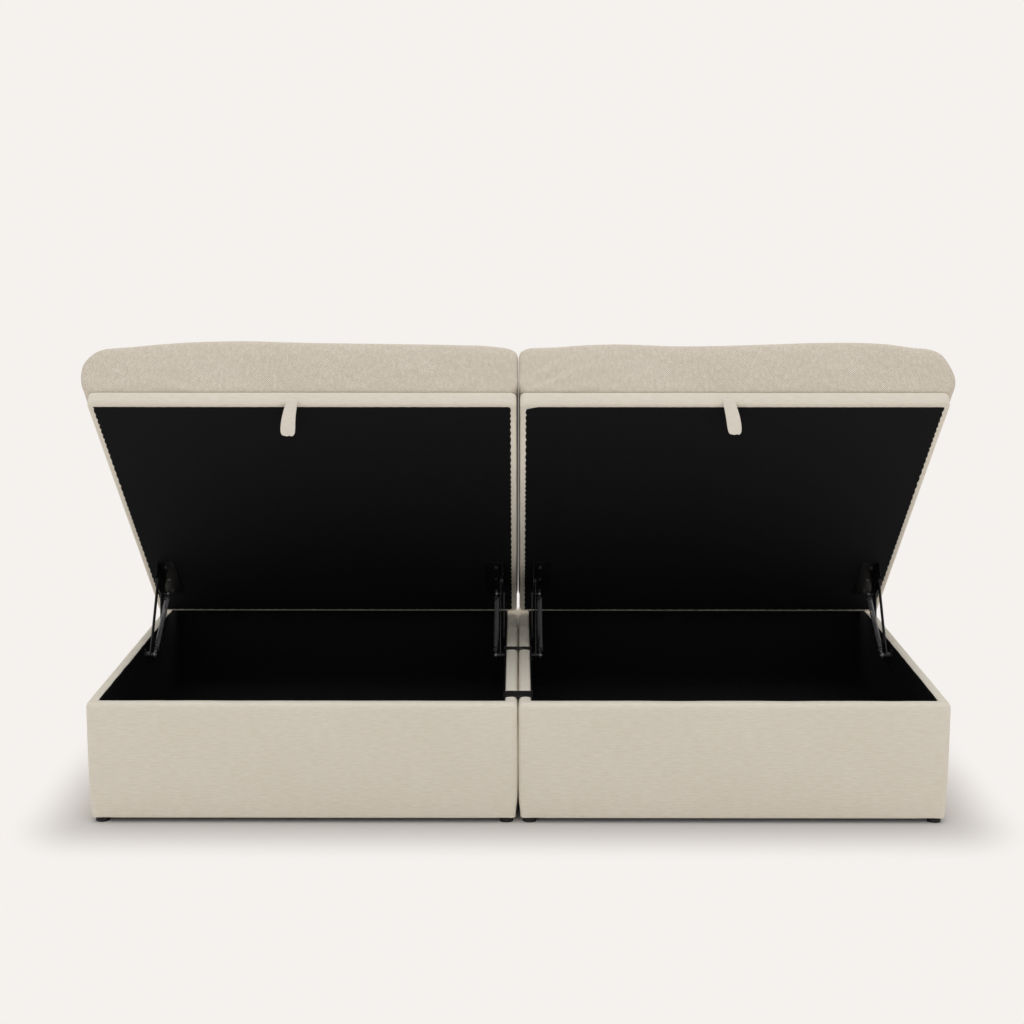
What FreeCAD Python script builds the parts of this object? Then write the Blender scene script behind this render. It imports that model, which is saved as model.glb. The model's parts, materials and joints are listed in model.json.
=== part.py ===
"""Storage sofa with lift-up seats: two armless modules side by side, shown with both seats raised.

Each module is an upholstered box with a lidded storage space. Its lid carries the seat cushion and
rides on a four-bar lift on each side, so the seat moves forward as it tips up. Lengths are millimetres.
World frame: origin on the floor at the middle of the footprint, +X to the right, +Y to the back, +Z up.
"""
import FreeCAD, Part
import math
import os

import PartDesign
import Sketcher

Vector = FreeCAD.Vector
UP = Vector(0, 0, 1)
ACROSS = Vector(1, 0, 0)

# Driving dimensions. Heights and depths are measured from the floor and from the base's front face.
SIZES = (
    ("module_width", 938),
    ("module_depth", 950),
    ("module_gap", 4),
    ("rim_height", 273),
    ("foot_height", 12),
    ("foot_diameter", 30),
    ("foot_inset", 23.5),
    ("foot_nail_diameter", 4),
    ("foot_nail_length", 26),
    ("nail_clearance", 0.1),
    ("cover_padding", 7),
    ("rim_cover", 5),
    ("panel_thickness", 19),
    ("lining_thickness", 2),
    ("storage_depth", 209),
    ("floor_panel_thickness", 9),
    ("bearer_width", 25),
    ("dust_cover_thickness", 1.5),
    ("base_corner_radius", 14),
    ("base_edge_radius", 9),
    ("hem_height", 48),
    ("hem_tuck", 4),
    # lid, measured from its rear bottom edge; open, that edge lies ahead of the base's rear face
    ("lid_tilt", 41.75),
    ("lid_open_advance", 109.8),
    ("lid_open_lift", 5.45),
    ("lid_closed_lift", 3.5),
    ("lid_thickness", 30),
    ("lid_cover_thickness", 4),
    ("lid_corner_radius", 16),
    ("lid_hem_width", 30),
    ("lid_hem_thickness", 1.5),
    ("rail_width", 60),
    ("deck_thickness", 8),
    ("underlining_thickness", 0.6),
    ("underlining_margin", 12),
    # seat cushion
    ("cushion_outer_bulge", 18),
    ("cushion_inner_bulge", 1.7),
    ("cushion_front_bulge", 8),
    ("cushion_back_bulge", 5),
    ("foam_height", 128),
    ("foam_margin", 22),
    # lift mechanism: pivots on the base, ahead of its rear face
    ("front_pivot_ahead", 448),
    ("rear_pivot_ahead", 270),
    # pivots on the lid, from its rear edge and below its underside
    ("lid_front_pivot_along", 248.5),
    ("lid_front_pivot_drop", 47.4),
    ("lid_rear_pivot_along", 162.4),
    ("lid_rear_pivot_drop", 36.8),
    # distances of the layers of the mechanism from the lined wall
    ("bracket_thickness", 2.5),
    ("rear_arm_layer", 4.5),
    ("lid_plate_layer", 8),
    ("front_arm_layer", 12),
    ("spring_layer", 24),
    ("arm_thickness", 2.5),
    ("front_arm_width", 20),
    ("rear_arm_width", 22),
    ("side_play", 0.3),
    ("pin_radius", 5),
    ("lid_pin_radius", 4),
    ("pin_clearance", 0.06),
    ("collar_radius", 8),
    ("head_radius", 7),
    ("head_thickness", 1.2),
    ("base_bracket_height", 40),
    ("base_bracket_reach", 24),
    ("base_bracket_lead", 10),
    ("base_bracket_drop", 12),
    ("base_bracket_ear", 15),
    ("base_screw_first", 45),
    ("base_screw_pitch", 50),
    ("base_screw_drop", 44),
    ("lid_screw_first", 116),
    ("lid_screw_pitch", 60),
    ("lid_screw_inset", 17),
    ("lid_plate_width", 24),
    ("lid_flange_width", 42),
    ("lid_flange_length", 162),
    ("lid_flange_start", 100),
    ("screw_radius", 2),
    ("screw_head_radius", 4.5),
    ("screw_head_thickness", 1.8),
    ("screw_length", 16),
    ("screw_clearance", 0.1),
    # tension springs
    ("spring_radius", 4.6),
    ("spring_wire", 3.4),
    ("spring_turns", 25),
    ("spring_eye_radius", 8),
    ("spring_eye_thickness", 4),
    ("spring_neck_radius", 6.5),
    ("spring_neck_length", 20),
    # pull tabs
    ("tab_width", 30),
    ("tab_length", 82),
    ("tab_thickness", 6),
    ("tab_slot", 2.4),
    ("tab_reach", 7.5),
    ("tab_rise", 2),
    ("left_tab_shift", -21),
    ("right_tab_shift", -14),
    ("left_tab_lean", 7),
    ("right_tab_lean", -11),
    # clips that join the two modules
    ("clip_thickness", 2.5),
    ("clip_leg", 8),
    ("front_clip_back", 51),
    ("front_clip_width", 43),
    ("rear_clip_back", 463),
    ("rear_clip_width", 22),
)

# Places of a pivot of the lid with the lid open, and its way to the closed lid.
PIVOT_OPEN_BACK = (
    "Made.lid_open_back - Dims.lid_{0}_pivot_along * Made.tilt_cos"
    " - Dims.lid_{0}_pivot_drop * Made.tilt_sin"
)
PIVOT_OPEN_HEIGHT = (
    "Made.lid_height + Dims.lid_{0}_pivot_along * Made.tilt_sin"
    " - Dims.lid_{0}_pivot_drop * Made.tilt_cos"
)
PIVOT_TRAVEL_BACK = "Dims.module_depth - Dims.lid_{0}_pivot_along - Made.lid_{0}_pivot_back"
PIVOT_TRAVEL_UP = (
    "Dims.rim_height + Dims.lid_closed_lift - Dims.lid_{0}_pivot_drop - Made.lid_{0}_pivot_height"
)
# The base's pivot is as far from the lid's pivot when the lid is open as when it is closed.
BASE_PIVOT_HEIGHT = (
    "Made.lid_{0}_pivot_height + Made.{0}_travel_up / 2"
    " - (Made.{0}_pivot_back - Made.lid_{0}_pivot_back - Made.{0}_travel_back / 2)"
    " * Made.{0}_travel_back / Made.{0}_travel_up"
)

# Values worked out from the driving dimensions, as formulas.
WORKED_OUT = (
    ("front_pivot_back", "Dims.module_depth - Dims.front_pivot_ahead"),
    ("rear_pivot_back", "Dims.module_depth - Dims.rear_pivot_ahead"),
    ("lid_open_back", "Dims.module_depth - Dims.lid_open_advance"),
    ("half_width", "Dims.module_width / 2"),
    ("half_pitch", "(Dims.module_width + Dims.module_gap) / 2"),
    ("half_depth", "Dims.module_depth / 2"),
    ("wall", "Dims.cover_padding + Dims.panel_thickness + Dims.lining_thickness"),
    ("lined_wall", "Made.half_width - Made.wall"),
    ("panel_outside", "Made.half_width - Dims.cover_padding"),
    ("panel_inside", "Made.panel_outside - Dims.panel_thickness"),
    ("frame_inset", "Dims.cover_padding + Dims.panel_thickness"),
    ("panel_top", "Dims.rim_height - Dims.rim_cover"),
    ("panel_foot", "Dims.foot_height + Dims.dust_cover_thickness"),
    ("storage_floor", "Dims.rim_height - Dims.storage_depth"),
    ("floor_top", "Made.storage_floor - Dims.lining_thickness"),
    ("floor_under", "Made.floor_top - Dims.floor_panel_thickness"),
    ("rail_outside", "Made.half_width - Dims.lid_cover_thickness"),
    ("rail_inside", "Made.rail_outside - Dims.rail_width"),
    ("rail_top", "Dims.lid_thickness - Dims.deck_thickness"),
    ("lid_height", "Dims.rim_height + Dims.lid_open_lift"),
    ("tilt_cos", "cos(Dims.lid_tilt * 1 deg)"),
    ("tilt_sin", "sin(Dims.lid_tilt * 1 deg)"),
    ("lid_front_pivot_back", PIVOT_OPEN_BACK.format("front")),
    ("lid_front_pivot_height", PIVOT_OPEN_HEIGHT.format("front")),
    ("lid_rear_pivot_back", PIVOT_OPEN_BACK.format("rear")),
    ("lid_rear_pivot_height", PIVOT_OPEN_HEIGHT.format("rear")),
    ("front_travel_back", PIVOT_TRAVEL_BACK.format("front")),
    ("front_travel_up", PIVOT_TRAVEL_UP.format("front")),
    ("rear_travel_back", PIVOT_TRAVEL_BACK.format("rear")),
    ("rear_travel_up", PIVOT_TRAVEL_UP.format("rear")),
    ("front_pivot_height", BASE_PIVOT_HEIGHT.format("front")),
    ("rear_pivot_height", BASE_PIVOT_HEIGHT.format("rear")),
    ("front_reach_back", "Made.lid_front_pivot_back - Made.front_pivot_back"),
    ("front_reach_up", "Made.lid_front_pivot_height - Made.front_pivot_height"),
    ("rear_reach_back", "Made.lid_rear_pivot_back - Made.rear_pivot_back"),
    ("rear_reach_up", "Made.lid_rear_pivot_height - Made.rear_pivot_height"),
    ("spring_reach_back", "Made.lid_rear_pivot_back - Made.front_pivot_back"),
    ("spring_reach_up", "Made.lid_rear_pivot_height - Made.front_pivot_height"),
    ("front_arm_length", "sqrt(Made.front_reach_back ^ 2 + Made.front_reach_up ^ 2)"),
    ("rear_arm_length", "sqrt(Made.rear_reach_back ^ 2 + Made.rear_reach_up ^ 2)"),
    ("spring_length", "sqrt(Made.spring_reach_back ^ 2 + Made.spring_reach_up ^ 2)"),
)
ANGLES = (
    ("front_arm_angle", "atan2(Made.front_reach_up; Made.front_reach_back)"),
    ("rear_arm_angle", "atan2(Made.rear_reach_up; Made.rear_reach_back)"),
    ("spring_angle", "atan2(Made.spring_reach_up; Made.spring_reach_back)"),
    ("lid_lean", "-Dims.lid_tilt * 1 deg"),
)

# Outline of the seat cushion from its bottom seam upwards: height above the seam, share of the bulge,
# inset from the lid's edge and radius of the plan's corners.
CUSHION_PROFILE = (
    (0, 0.00, 4, 34),
    (9, 0.42, 2, 38),
    (22, 0.78, 0, 42),
    (42, 1.00, 0, 47),
    (64, 1.00, 0, 50),
    (87, 0.84, 0, 53),
    (106, 0.58, 0, 56),
    (119, 0.38, 2, 59),
    (130, 0.22, 7, 64),
    (139, 0.10, 16, 71),
    (145, 0.03, 28, 80),
    (149, 0.00, 44, 92),
    (151.5, 0.00, 76, 112),
    (154.4, 0.00, 140, 136),
    (157, 0.00, 240, 140),
    (158, 0.00, 340, 110),
)

# Screws in a row on each bracket, on the base from the front pivot and on the lid from its rear edge.
SCREWS_IN_ROW = 3

# Turn of a spring's wire between its last coil and its straight end, and the least gap between coils.
LEAD_TURN = math.radians(50)
LEAST_GAP = 0.4

doc = FreeCAD.newDocument("storage_sofa")
sheet = doc.addObject("Spreadsheet::Sheet", "Dims")
made = doc.addObject("App::VarSet", "Made")
kept = []


def fill_sheet():
    """Write each driving dimension's name and value in a row of the sheet."""
    for row, (name, value) in enumerate(SIZES, 1):
        sheet.set(f"A{row}", name)
        sheet.set(f"B{row}", str(value))
        sheet.setAlias(f"B{row}", name)
    doc.recompute()


def work_out():
    """Bind every derived length and angle to the sheet."""
    for name, formula in WORKED_OUT:
        made.addProperty("App::PropertyFloat", name, "Lengths", "")
        made.setExpression(name, formula)
        doc.recompute()
    for name, formula in ANGLES:
        made.addProperty("App::PropertyAngle", name, "Angles", "")
        made.setExpression(name, formula)
    doc.recompute()


def size(name):
    """A driving dimension's present value, for the shapes that the code builds itself."""
    return float(sheet.get(name))


def bind(item, **formulas):
    """Bind properties of an item to formulas."""
    for name, formula in formulas.items():
        item.setExpression(name, str(formula))
    return item


def move(item, x=0, y=0, z=0):
    """Bind an item's position to three formulas."""
    for axis, formula in (("x", x), ("y", y), ("z", z)):
        item.setExpression(f"Placement.Base.{axis}", str(formula))
    return item


def turn(item, axis, angle):
    """Turn an item about an axis, with the angle bound to a formula."""
    item.Placement = FreeCAD.Placement(Vector(), FreeCAD.Rotation(axis, 1))
    item.setExpression("Placement.Rotation.Angle", angle)
    return item


def block(name, x, y, z, length, width, height):
    """A box from its low corner and its three sizes, all formulas."""
    item = doc.addObject("Part::Box", name)
    bind(item, Length=length, Width=width, Height=height)
    return move(item, x, y, z)


def upright(name, radius, height, x, y, z):
    """A vertical cylinder."""
    item = bind(doc.addObject("Part::Cylinder", name), Radius=radius, Height=height)
    return move(item, x, y, z)


def across(side, near, far):
    """Start and length, along X, of what spans from near to far of the middle plane on one side."""
    start = f"{near}" if side > 0 else f"-({far})"
    return start, f"({far}) - ({near})"


def crosswise(name, side, radius, near, far, y, z):
    """A cylinder along X between two distances from the module's middle plane, on one side."""
    start, length = across(side, near, far)
    item = bind(doc.addObject("Part::Cylinder", name), Radius=radius, Height=length)
    item.Placement = FreeCAD.Placement(Vector(), FreeCAD.Rotation(Vector(0, 1, 0), 90))
    return move(item, start, y, z)


def fuse(name, *items):
    item = doc.addObject("Part::MultiFuse", name)
    item.Shapes = list(items)
    return item


def cut(name, base, tool):
    item = doc.addObject("Part::Cut", name)
    item.Base = base
    item.Tool = tool
    return item


def common(name, *items):
    item = doc.addObject("Part::MultiCommon", name)
    item.Shapes = list(items)
    return item


def group(name, *items):
    item = doc.addObject("Part::Compound", name)
    item.Links = list(items)
    return item


def keep(item, node):
    """Name a finished sub-part."""
    item.Label = node
    kept.append((node, item))
    return item


def on_base(item, side):
    """Place what is drawn from its module's middle plane, the base's front face and the floor."""
    return move(item, f"{side} * Made.half_pitch", "-Made.half_depth", 0)


def on_lid(item, side):
    """Place what is drawn from the lid's rear bottom edge, with the lid lying flat."""
    turn(item, ACROSS, "Made.lid_lean")
    return move(item, f"{side} * Made.half_pitch", "Made.lid_open_back - Made.half_depth", "Made.lid_height")


def on_pivot(item, side, back, height, angle):
    """Place what is drawn from a pivot, with its length along +Y."""
    turn(item, ACROSS, angle)
    return move(item, f"{side} * Made.half_pitch", f"{back} - Made.half_depth", height)


def layer(near, far=None):
    """Distances from the middle plane of a layer given by its distances from the lined wall."""
    return f"Made.lined_wall - ({far})", f"Made.lined_wall - ({near})"


def plane_of(body, role):
    return [plane for plane in body.Origin.OriginFeatures if plane.Role == role][0]


def new_sketch(body, name, role):
    sketch = body.newObject("Sketcher::SketchObject", name)
    sketch.AttachmentSupport = (plane_of(body, role), [""])
    sketch.MapMode = "FlatFace"
    return sketch


def name_last(sketch, constraint, name, formula):
    """Add a constraint, name it and bind it."""
    number = sketch.addConstraint(constraint)
    sketch.renameConstraint(number, name)
    sketch.setExpression(f"Constraints.{name}", formula)


def slab_body(name, half_width, front, back, bottom, height, corner):
    """A pad with rounded upright edges, symmetrical about X = 0, from front to back along Y.

    The sketch starts near its size, and its constraints then carry it to the given one.
    """
    begin = size("cover_padding")
    reach = size("module_depth") - begin
    side = size("module_width") / 2 - begin
    body = doc.addObject("PartDesign::Body", name)
    sketch = new_sketch(body, f"{name}_outline", "XY_Plane")
    corners = [Vector(-side, begin), Vector(side, begin), Vector(side, reach), Vector(-side, reach)]
    for number in range(4):
        sketch.addGeometry(Part.LineSegment(corners[number], corners[(number + 1) % 4]))
    for number in range(4):
        sketch.addConstraint(Sketcher.Constraint("Coincident", number, 2, (number + 1) % 4, 1))
    for number in (0, 2):
        sketch.addConstraint(Sketcher.Constraint("Horizontal", number))
    for number in (1, 3):
        sketch.addConstraint(Sketcher.Constraint("Vertical", number))
    name_last(sketch, Sketcher.Constraint("DistanceX", 0, 1, -1, 1, side), "left", half_width)
    name_last(sketch, Sketcher.Constraint("DistanceX", -1, 1, 0, 2, side), "right", half_width)
    pin_depth = Sketcher.Constraint("DistanceY", 0, 2, 1, 2, reach - begin)
    name_last(sketch, pin_depth, "depth", f"({back}) - ({front})")
    pin_front = Sketcher.Constraint("DistanceY", -1, 1, 0, 2, begin)
    name_last(sketch, pin_front, "front", f"({front}) + 2000")
    sketch.Placement = FreeCAD.Placement()
    doc.recompute()
    pad = body.newObject("PartDesign::Pad", f"{name}_pad")
    pad.Profile = sketch
    bind(pad, Length=height)
    doc.recompute()
    fillet = body.newObject("PartDesign::Fillet", f"{name}_corners")
    fillet.Base = (pad, edges_of(pad, lambda edge: is_upright(edge)))
    bind(fillet, Radius=corner)
    move(body, 0, "-2000", bottom)
    doc.recompute()
    return body, fillet


def is_upright(edge):
    tangent = edge.tangentAt(edge.FirstParameter)
    return abs(tangent.z) > 0.99


def edges_of(item, wanted):
    """Names of an item's edges that pass a test."""
    return [f"Edge{number}" for number, edge in enumerate(item.Shape.Edges, 1) if wanted(edge)]


def link_plate(name, reach, width, thickness, bores):
    """A flat bar with round ends, drawn from its first pivot along +Y, with bores at 0, 1 or both ends."""
    body = doc.addObject("PartDesign::Body", name)
    sketch = new_sketch(body, f"{name}_outline", "YZ_Plane")
    length = 100.0
    half = 10.0
    first = Part.Circle(Vector(0, 0, 0), UP, half)
    last = Part.Circle(Vector(length, 0, 0), UP, half)
    sketch.addGeometry(Part.ArcOfCircle(first, math.pi / 2, 3 * math.pi / 2))
    sketch.addGeometry(Part.ArcOfCircle(last, -math.pi / 2, math.pi / 2))
    sketch.addGeometry(Part.LineSegment(Vector(0, half, 0), Vector(length, half, 0)))
    sketch.addGeometry(Part.LineSegment(Vector(0, -half, 0), Vector(length, -half, 0)))
    for ends in ((0, 1, 2, 1), (0, 2, 3, 1), (1, 2, 2, 2), (1, 1, 3, 2)):
        sketch.addConstraint(Sketcher.Constraint("Tangent", *ends))
    sketch.addConstraint(Sketcher.Constraint("Coincident", 0, 3, -1, 1))
    sketch.addConstraint(Sketcher.Constraint("PointOnObject", 1, 3, -1))
    sketch.addConstraint(Sketcher.Constraint("Equal", 0, 1))
    name_last(sketch, Sketcher.Constraint("DistanceX", -1, 1, 1, 3, length), "reach", reach)
    name_last(sketch, Sketcher.Constraint("Radius", 0, half), "end_radius", f"({width}) / 2")
    for number, (end, radius) in enumerate(bores):
        centre = Vector(length * end, 0, 0)
        circle = sketch.addGeometry(Part.Circle(centre, UP, 3))
        sketch.addConstraint(Sketcher.Constraint("Coincident", circle, 3, end, 3))
        name_last(sketch, Sketcher.Constraint("Radius", circle, 3), f"bore_{number}", radius)
    doc.recompute()
    pad = body.newObject("PartDesign::Pad", f"{name}_pad")
    pad.Profile = sketch
    bind(pad, Length=thickness)
    doc.recompute()
    return body


def screw_places_on_base():
    """Distances of the base bracket's screws from the base's front face."""
    first = "Made.front_pivot_back + Dims.base_screw_first"
    return [f"{first} + {number} * Dims.base_screw_pitch" for number in range(SCREWS_IN_ROW)]


def screw_places_on_lid():
    """Distances of the lid bracket's screws from the lid's rear edge."""
    return [f"Dims.lid_screw_first + {number} * Dims.lid_screw_pitch" for number in range(SCREWS_IN_ROW)]


def make_base(side, hand):
    """The upholstered box of one module: panels, floor, covers, lining and feet."""
    outer, outer_last = slab_body(
        f"{hand}_base_form",
        "Made.half_width",
        "0",
        "Dims.module_depth",
        "Dims.foot_height",
        "Dims.rim_height - Dims.foot_height",
        "Dims.base_corner_radius",
    )
    top = size("rim_height") - size("foot_height")
    rounding = outer.newObject("PartDesign::Fillet", f"{hand}_base_rim_rounding")
    rounding.Base = (outer_last, edges_of(outer_last, lambda edge: lies_at(edge, top)))
    bind(rounding, Radius="Dims.base_edge_radius")
    doc.recompute()
    hem = outer.newObject("PartDesign::Chamfer", f"{hand}_base_hem")
    hem.Base = (rounding, edges_of(rounding, lambda edge: lies_at(edge, 0)))
    hem.ChamferType = "Two distances"
    bind(hem, Size="Dims.hem_height", Size2="Dims.hem_tuck")
    doc.recompute()

    def frame_block(name):
        return slab_body(
            f"{hand}_{name}",
            "Made.panel_outside",
            "Dims.cover_padding",
            "Dims.module_depth - Dims.cover_padding",
            "Dims.foot_height",
            "Made.panel_top - Dims.foot_height",
            "Dims.base_corner_radius - Dims.cover_padding",
        )[0]

    opening = block(
        f"{hand}_rim_opening",
        "-Made.lined_wall",
        "Made.wall",
        "Made.storage_floor",
        "Made.lined_wall * 2",
        "Dims.module_depth - Made.wall * 2",
        "Dims.storage_depth + 10",
    )
    hollow = fuse(f"{hand}_cover_hollow", frame_block("cover_inside"), opening)
    cover = cut(f"{hand}_cover", outer, hollow)
    keep(on_base(cover, side), f"{hand}_base_cover")

    nails = foot_nail_holes(side, hand)
    holes = fuse(f"{hand}_side_panel_holes", nails, wall_screw_holes(side, hand, "panel"))
    sides = []
    for way in (-1, 1):
        start, width = across(way, "Made.panel_inside", "Made.panel_outside")
        slab = block(
            f"{hand}_side_slab_{way + 1}",
            start,
            "Dims.cover_padding",
            "Made.panel_foot",
            width,
            "Dims.module_depth - Dims.cover_padding * 2",
            "Made.panel_top - Made.panel_foot",
        )
        sides.append(common(f"{hand}_side_board_{way + 1}", frame_block(f"side_round_{way + 1}"), slab))
    boards = cut(f"{hand}_side_boards", group(f"{hand}_side_pair", *sides), holes)
    keep(on_base(boards, side), f"{hand}_base_side_panels")

    ends = []
    for number, start in enumerate(("Dims.cover_padding", "Dims.module_depth - Made.frame_inset")):
        ends.append(
            block(
                f"{hand}_end_board_{number}",
                "-Made.panel_inside",
                start,
                "Made.panel_foot",
                "Made.panel_inside * 2",
                "Dims.panel_thickness",
                "Made.panel_top - Made.panel_foot",
            )
        )
    keep(on_base(group(f"{hand}_end_boards", *ends), side), f"{hand}_base_end_panels")

    inner_depth = "Dims.module_depth - Made.frame_inset * 2"
    floor = block(
        f"{hand}_floor_board",
        "-Made.panel_inside",
        "Made.frame_inset",
        "Made.floor_under",
        "Made.panel_inside * 2",
        inner_depth,
        "Dims.floor_panel_thickness",
    )
    keep(on_base(group(f"{hand}_floor", floor), side), f"{hand}_base_floor_panel")

    bearers = []
    bearer_starts = (
        "-Made.panel_inside",
        "-Dims.bearer_width / 2",
        "Made.panel_inside - Dims.bearer_width",
    )
    for number, start in enumerate(bearer_starts):
        bearers.append(
            block(
                f"{hand}_bearer_{number}",
                start,
                "Made.frame_inset",
                "Made.panel_foot",
                "Dims.bearer_width",
                inner_depth,
                "Made.floor_under - Made.panel_foot",
            )
        )
    keep(on_base(group(f"{hand}_bearers", *bearers), side), f"{hand}_base_floor_bearers")

    sheet_slab = block(
        f"{hand}_dust_slab",
        "-Made.half_width",
        "0",
        "Dims.foot_height",
        "Dims.module_width",
        "Dims.module_depth",
        "Dims.dust_cover_thickness",
    )
    dust = common(f"{hand}_dust_sheet", frame_block("dust_outline"), sheet_slab)
    dust = cut(f"{hand}_dust_cover", dust, foot_nail_holes(side, f"{hand}_dust"))
    keep(on_base(dust, side), f"{hand}_base_dust_cover")

    liner_outside = block(
        f"{hand}_liner_outside",
        "-Made.panel_inside",
        "Made.frame_inset",
        "Made.floor_top",
        "Made.panel_inside * 2",
        inner_depth,
        "Made.panel_top - Made.floor_top",
    )
    liner_inside = block(
        f"{hand}_liner_inside",
        "-Made.lined_wall",
        "Made.wall",
        "Made.storage_floor",
        "Made.lined_wall * 2",
        "Dims.module_depth - Made.wall * 2",
        "Dims.storage_depth",
    )
    liner_void = fuse(f"{hand}_liner_void", liner_inside, wall_screw_holes(side, hand, "lining"))
    lining = cut(f"{hand}_liner", liner_outside, liner_void)
    keep(on_base(lining, side), f"{hand}_storage_lining")
    make_feet(side, hand)


def lies_at(edge, height):
    """True for an edge that runs level at a height."""
    return all(abs(vertex.Z - height) < 0.01 for vertex in edge.Vertexes)


def foot_centres():
    """Formulas for the X and Y of the four feet of a module."""
    for x in ("-(Made.half_width - Dims.foot_inset)", "Made.half_width - Dims.foot_inset"):
        for y in ("Dims.foot_inset", "Dims.module_depth - Dims.foot_inset"):
            yield x, y


def foot_nail_holes(side, name):
    drills = []
    for number, (x, y) in enumerate(foot_centres()):
        drills.append(
            upright(
                f"{name}_nail_hole_{number}",
                "Dims.foot_nail_diameter / 2 + Dims.nail_clearance",
                "Dims.foot_nail_length + 1",
                x,
                y,
                "Dims.foot_height - 0.5",
            )
        )
    return fuse(f"{name}_nail_holes", *drills)


def make_feet(side, hand):
    """Four round glides, each a disc with a bevelled top and a nail into the side panel."""
    feet = []
    for number, (x, y) in enumerate(foot_centres()):
        tread = upright(f"{hand}_foot_tread_{number}", "Dims.foot_diameter / 2", "Dims.foot_height * 0.6", x, y, 0)
        shoulder = doc.addObject("Part::Cone", f"{hand}_foot_shoulder_{number}")
        bind(
            shoulder,
            Radius1="Dims.foot_diameter / 2",
            Radius2="Dims.foot_diameter / 2 * 0.74",
            Height="Dims.foot_height * 0.4",
        )
        move(shoulder, x, y, "Dims.foot_height * 0.6")
        nail_length = "Dims.foot_height + Dims.foot_nail_length"
        nail = upright(f"{hand}_foot_nail_{number}", "Dims.foot_nail_diameter / 2", nail_length, x, y, 0)
        feet.append(fuse(f"{hand}_foot_{number}", tread, shoulder, nail))
    keep(on_base(group(f"{hand}_feet", *feet), side), f"{hand}_glide_feet")


def wall_screw_holes(side, hand, use):
    """Holes for the base brackets' screws, through the lining and into both side panels."""
    drills = []
    for way in (-1, 1):
        for number, place in enumerate(screw_places_on_base()):
            near, far = layer("-Dims.screw_length - 1", "0")
            drills.append(
                crosswise(
                    f"{hand}_{use}_screw_hole_{way + 1}_{number}",
                    way,
                    "Dims.screw_radius + Dims.screw_clearance",
                    near,
                    far,
                    place,
                    "Dims.rim_height - Dims.base_screw_drop",
                )
            )
    return fuse(f"{hand}_{use}_screw_holes", *drills)


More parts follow.
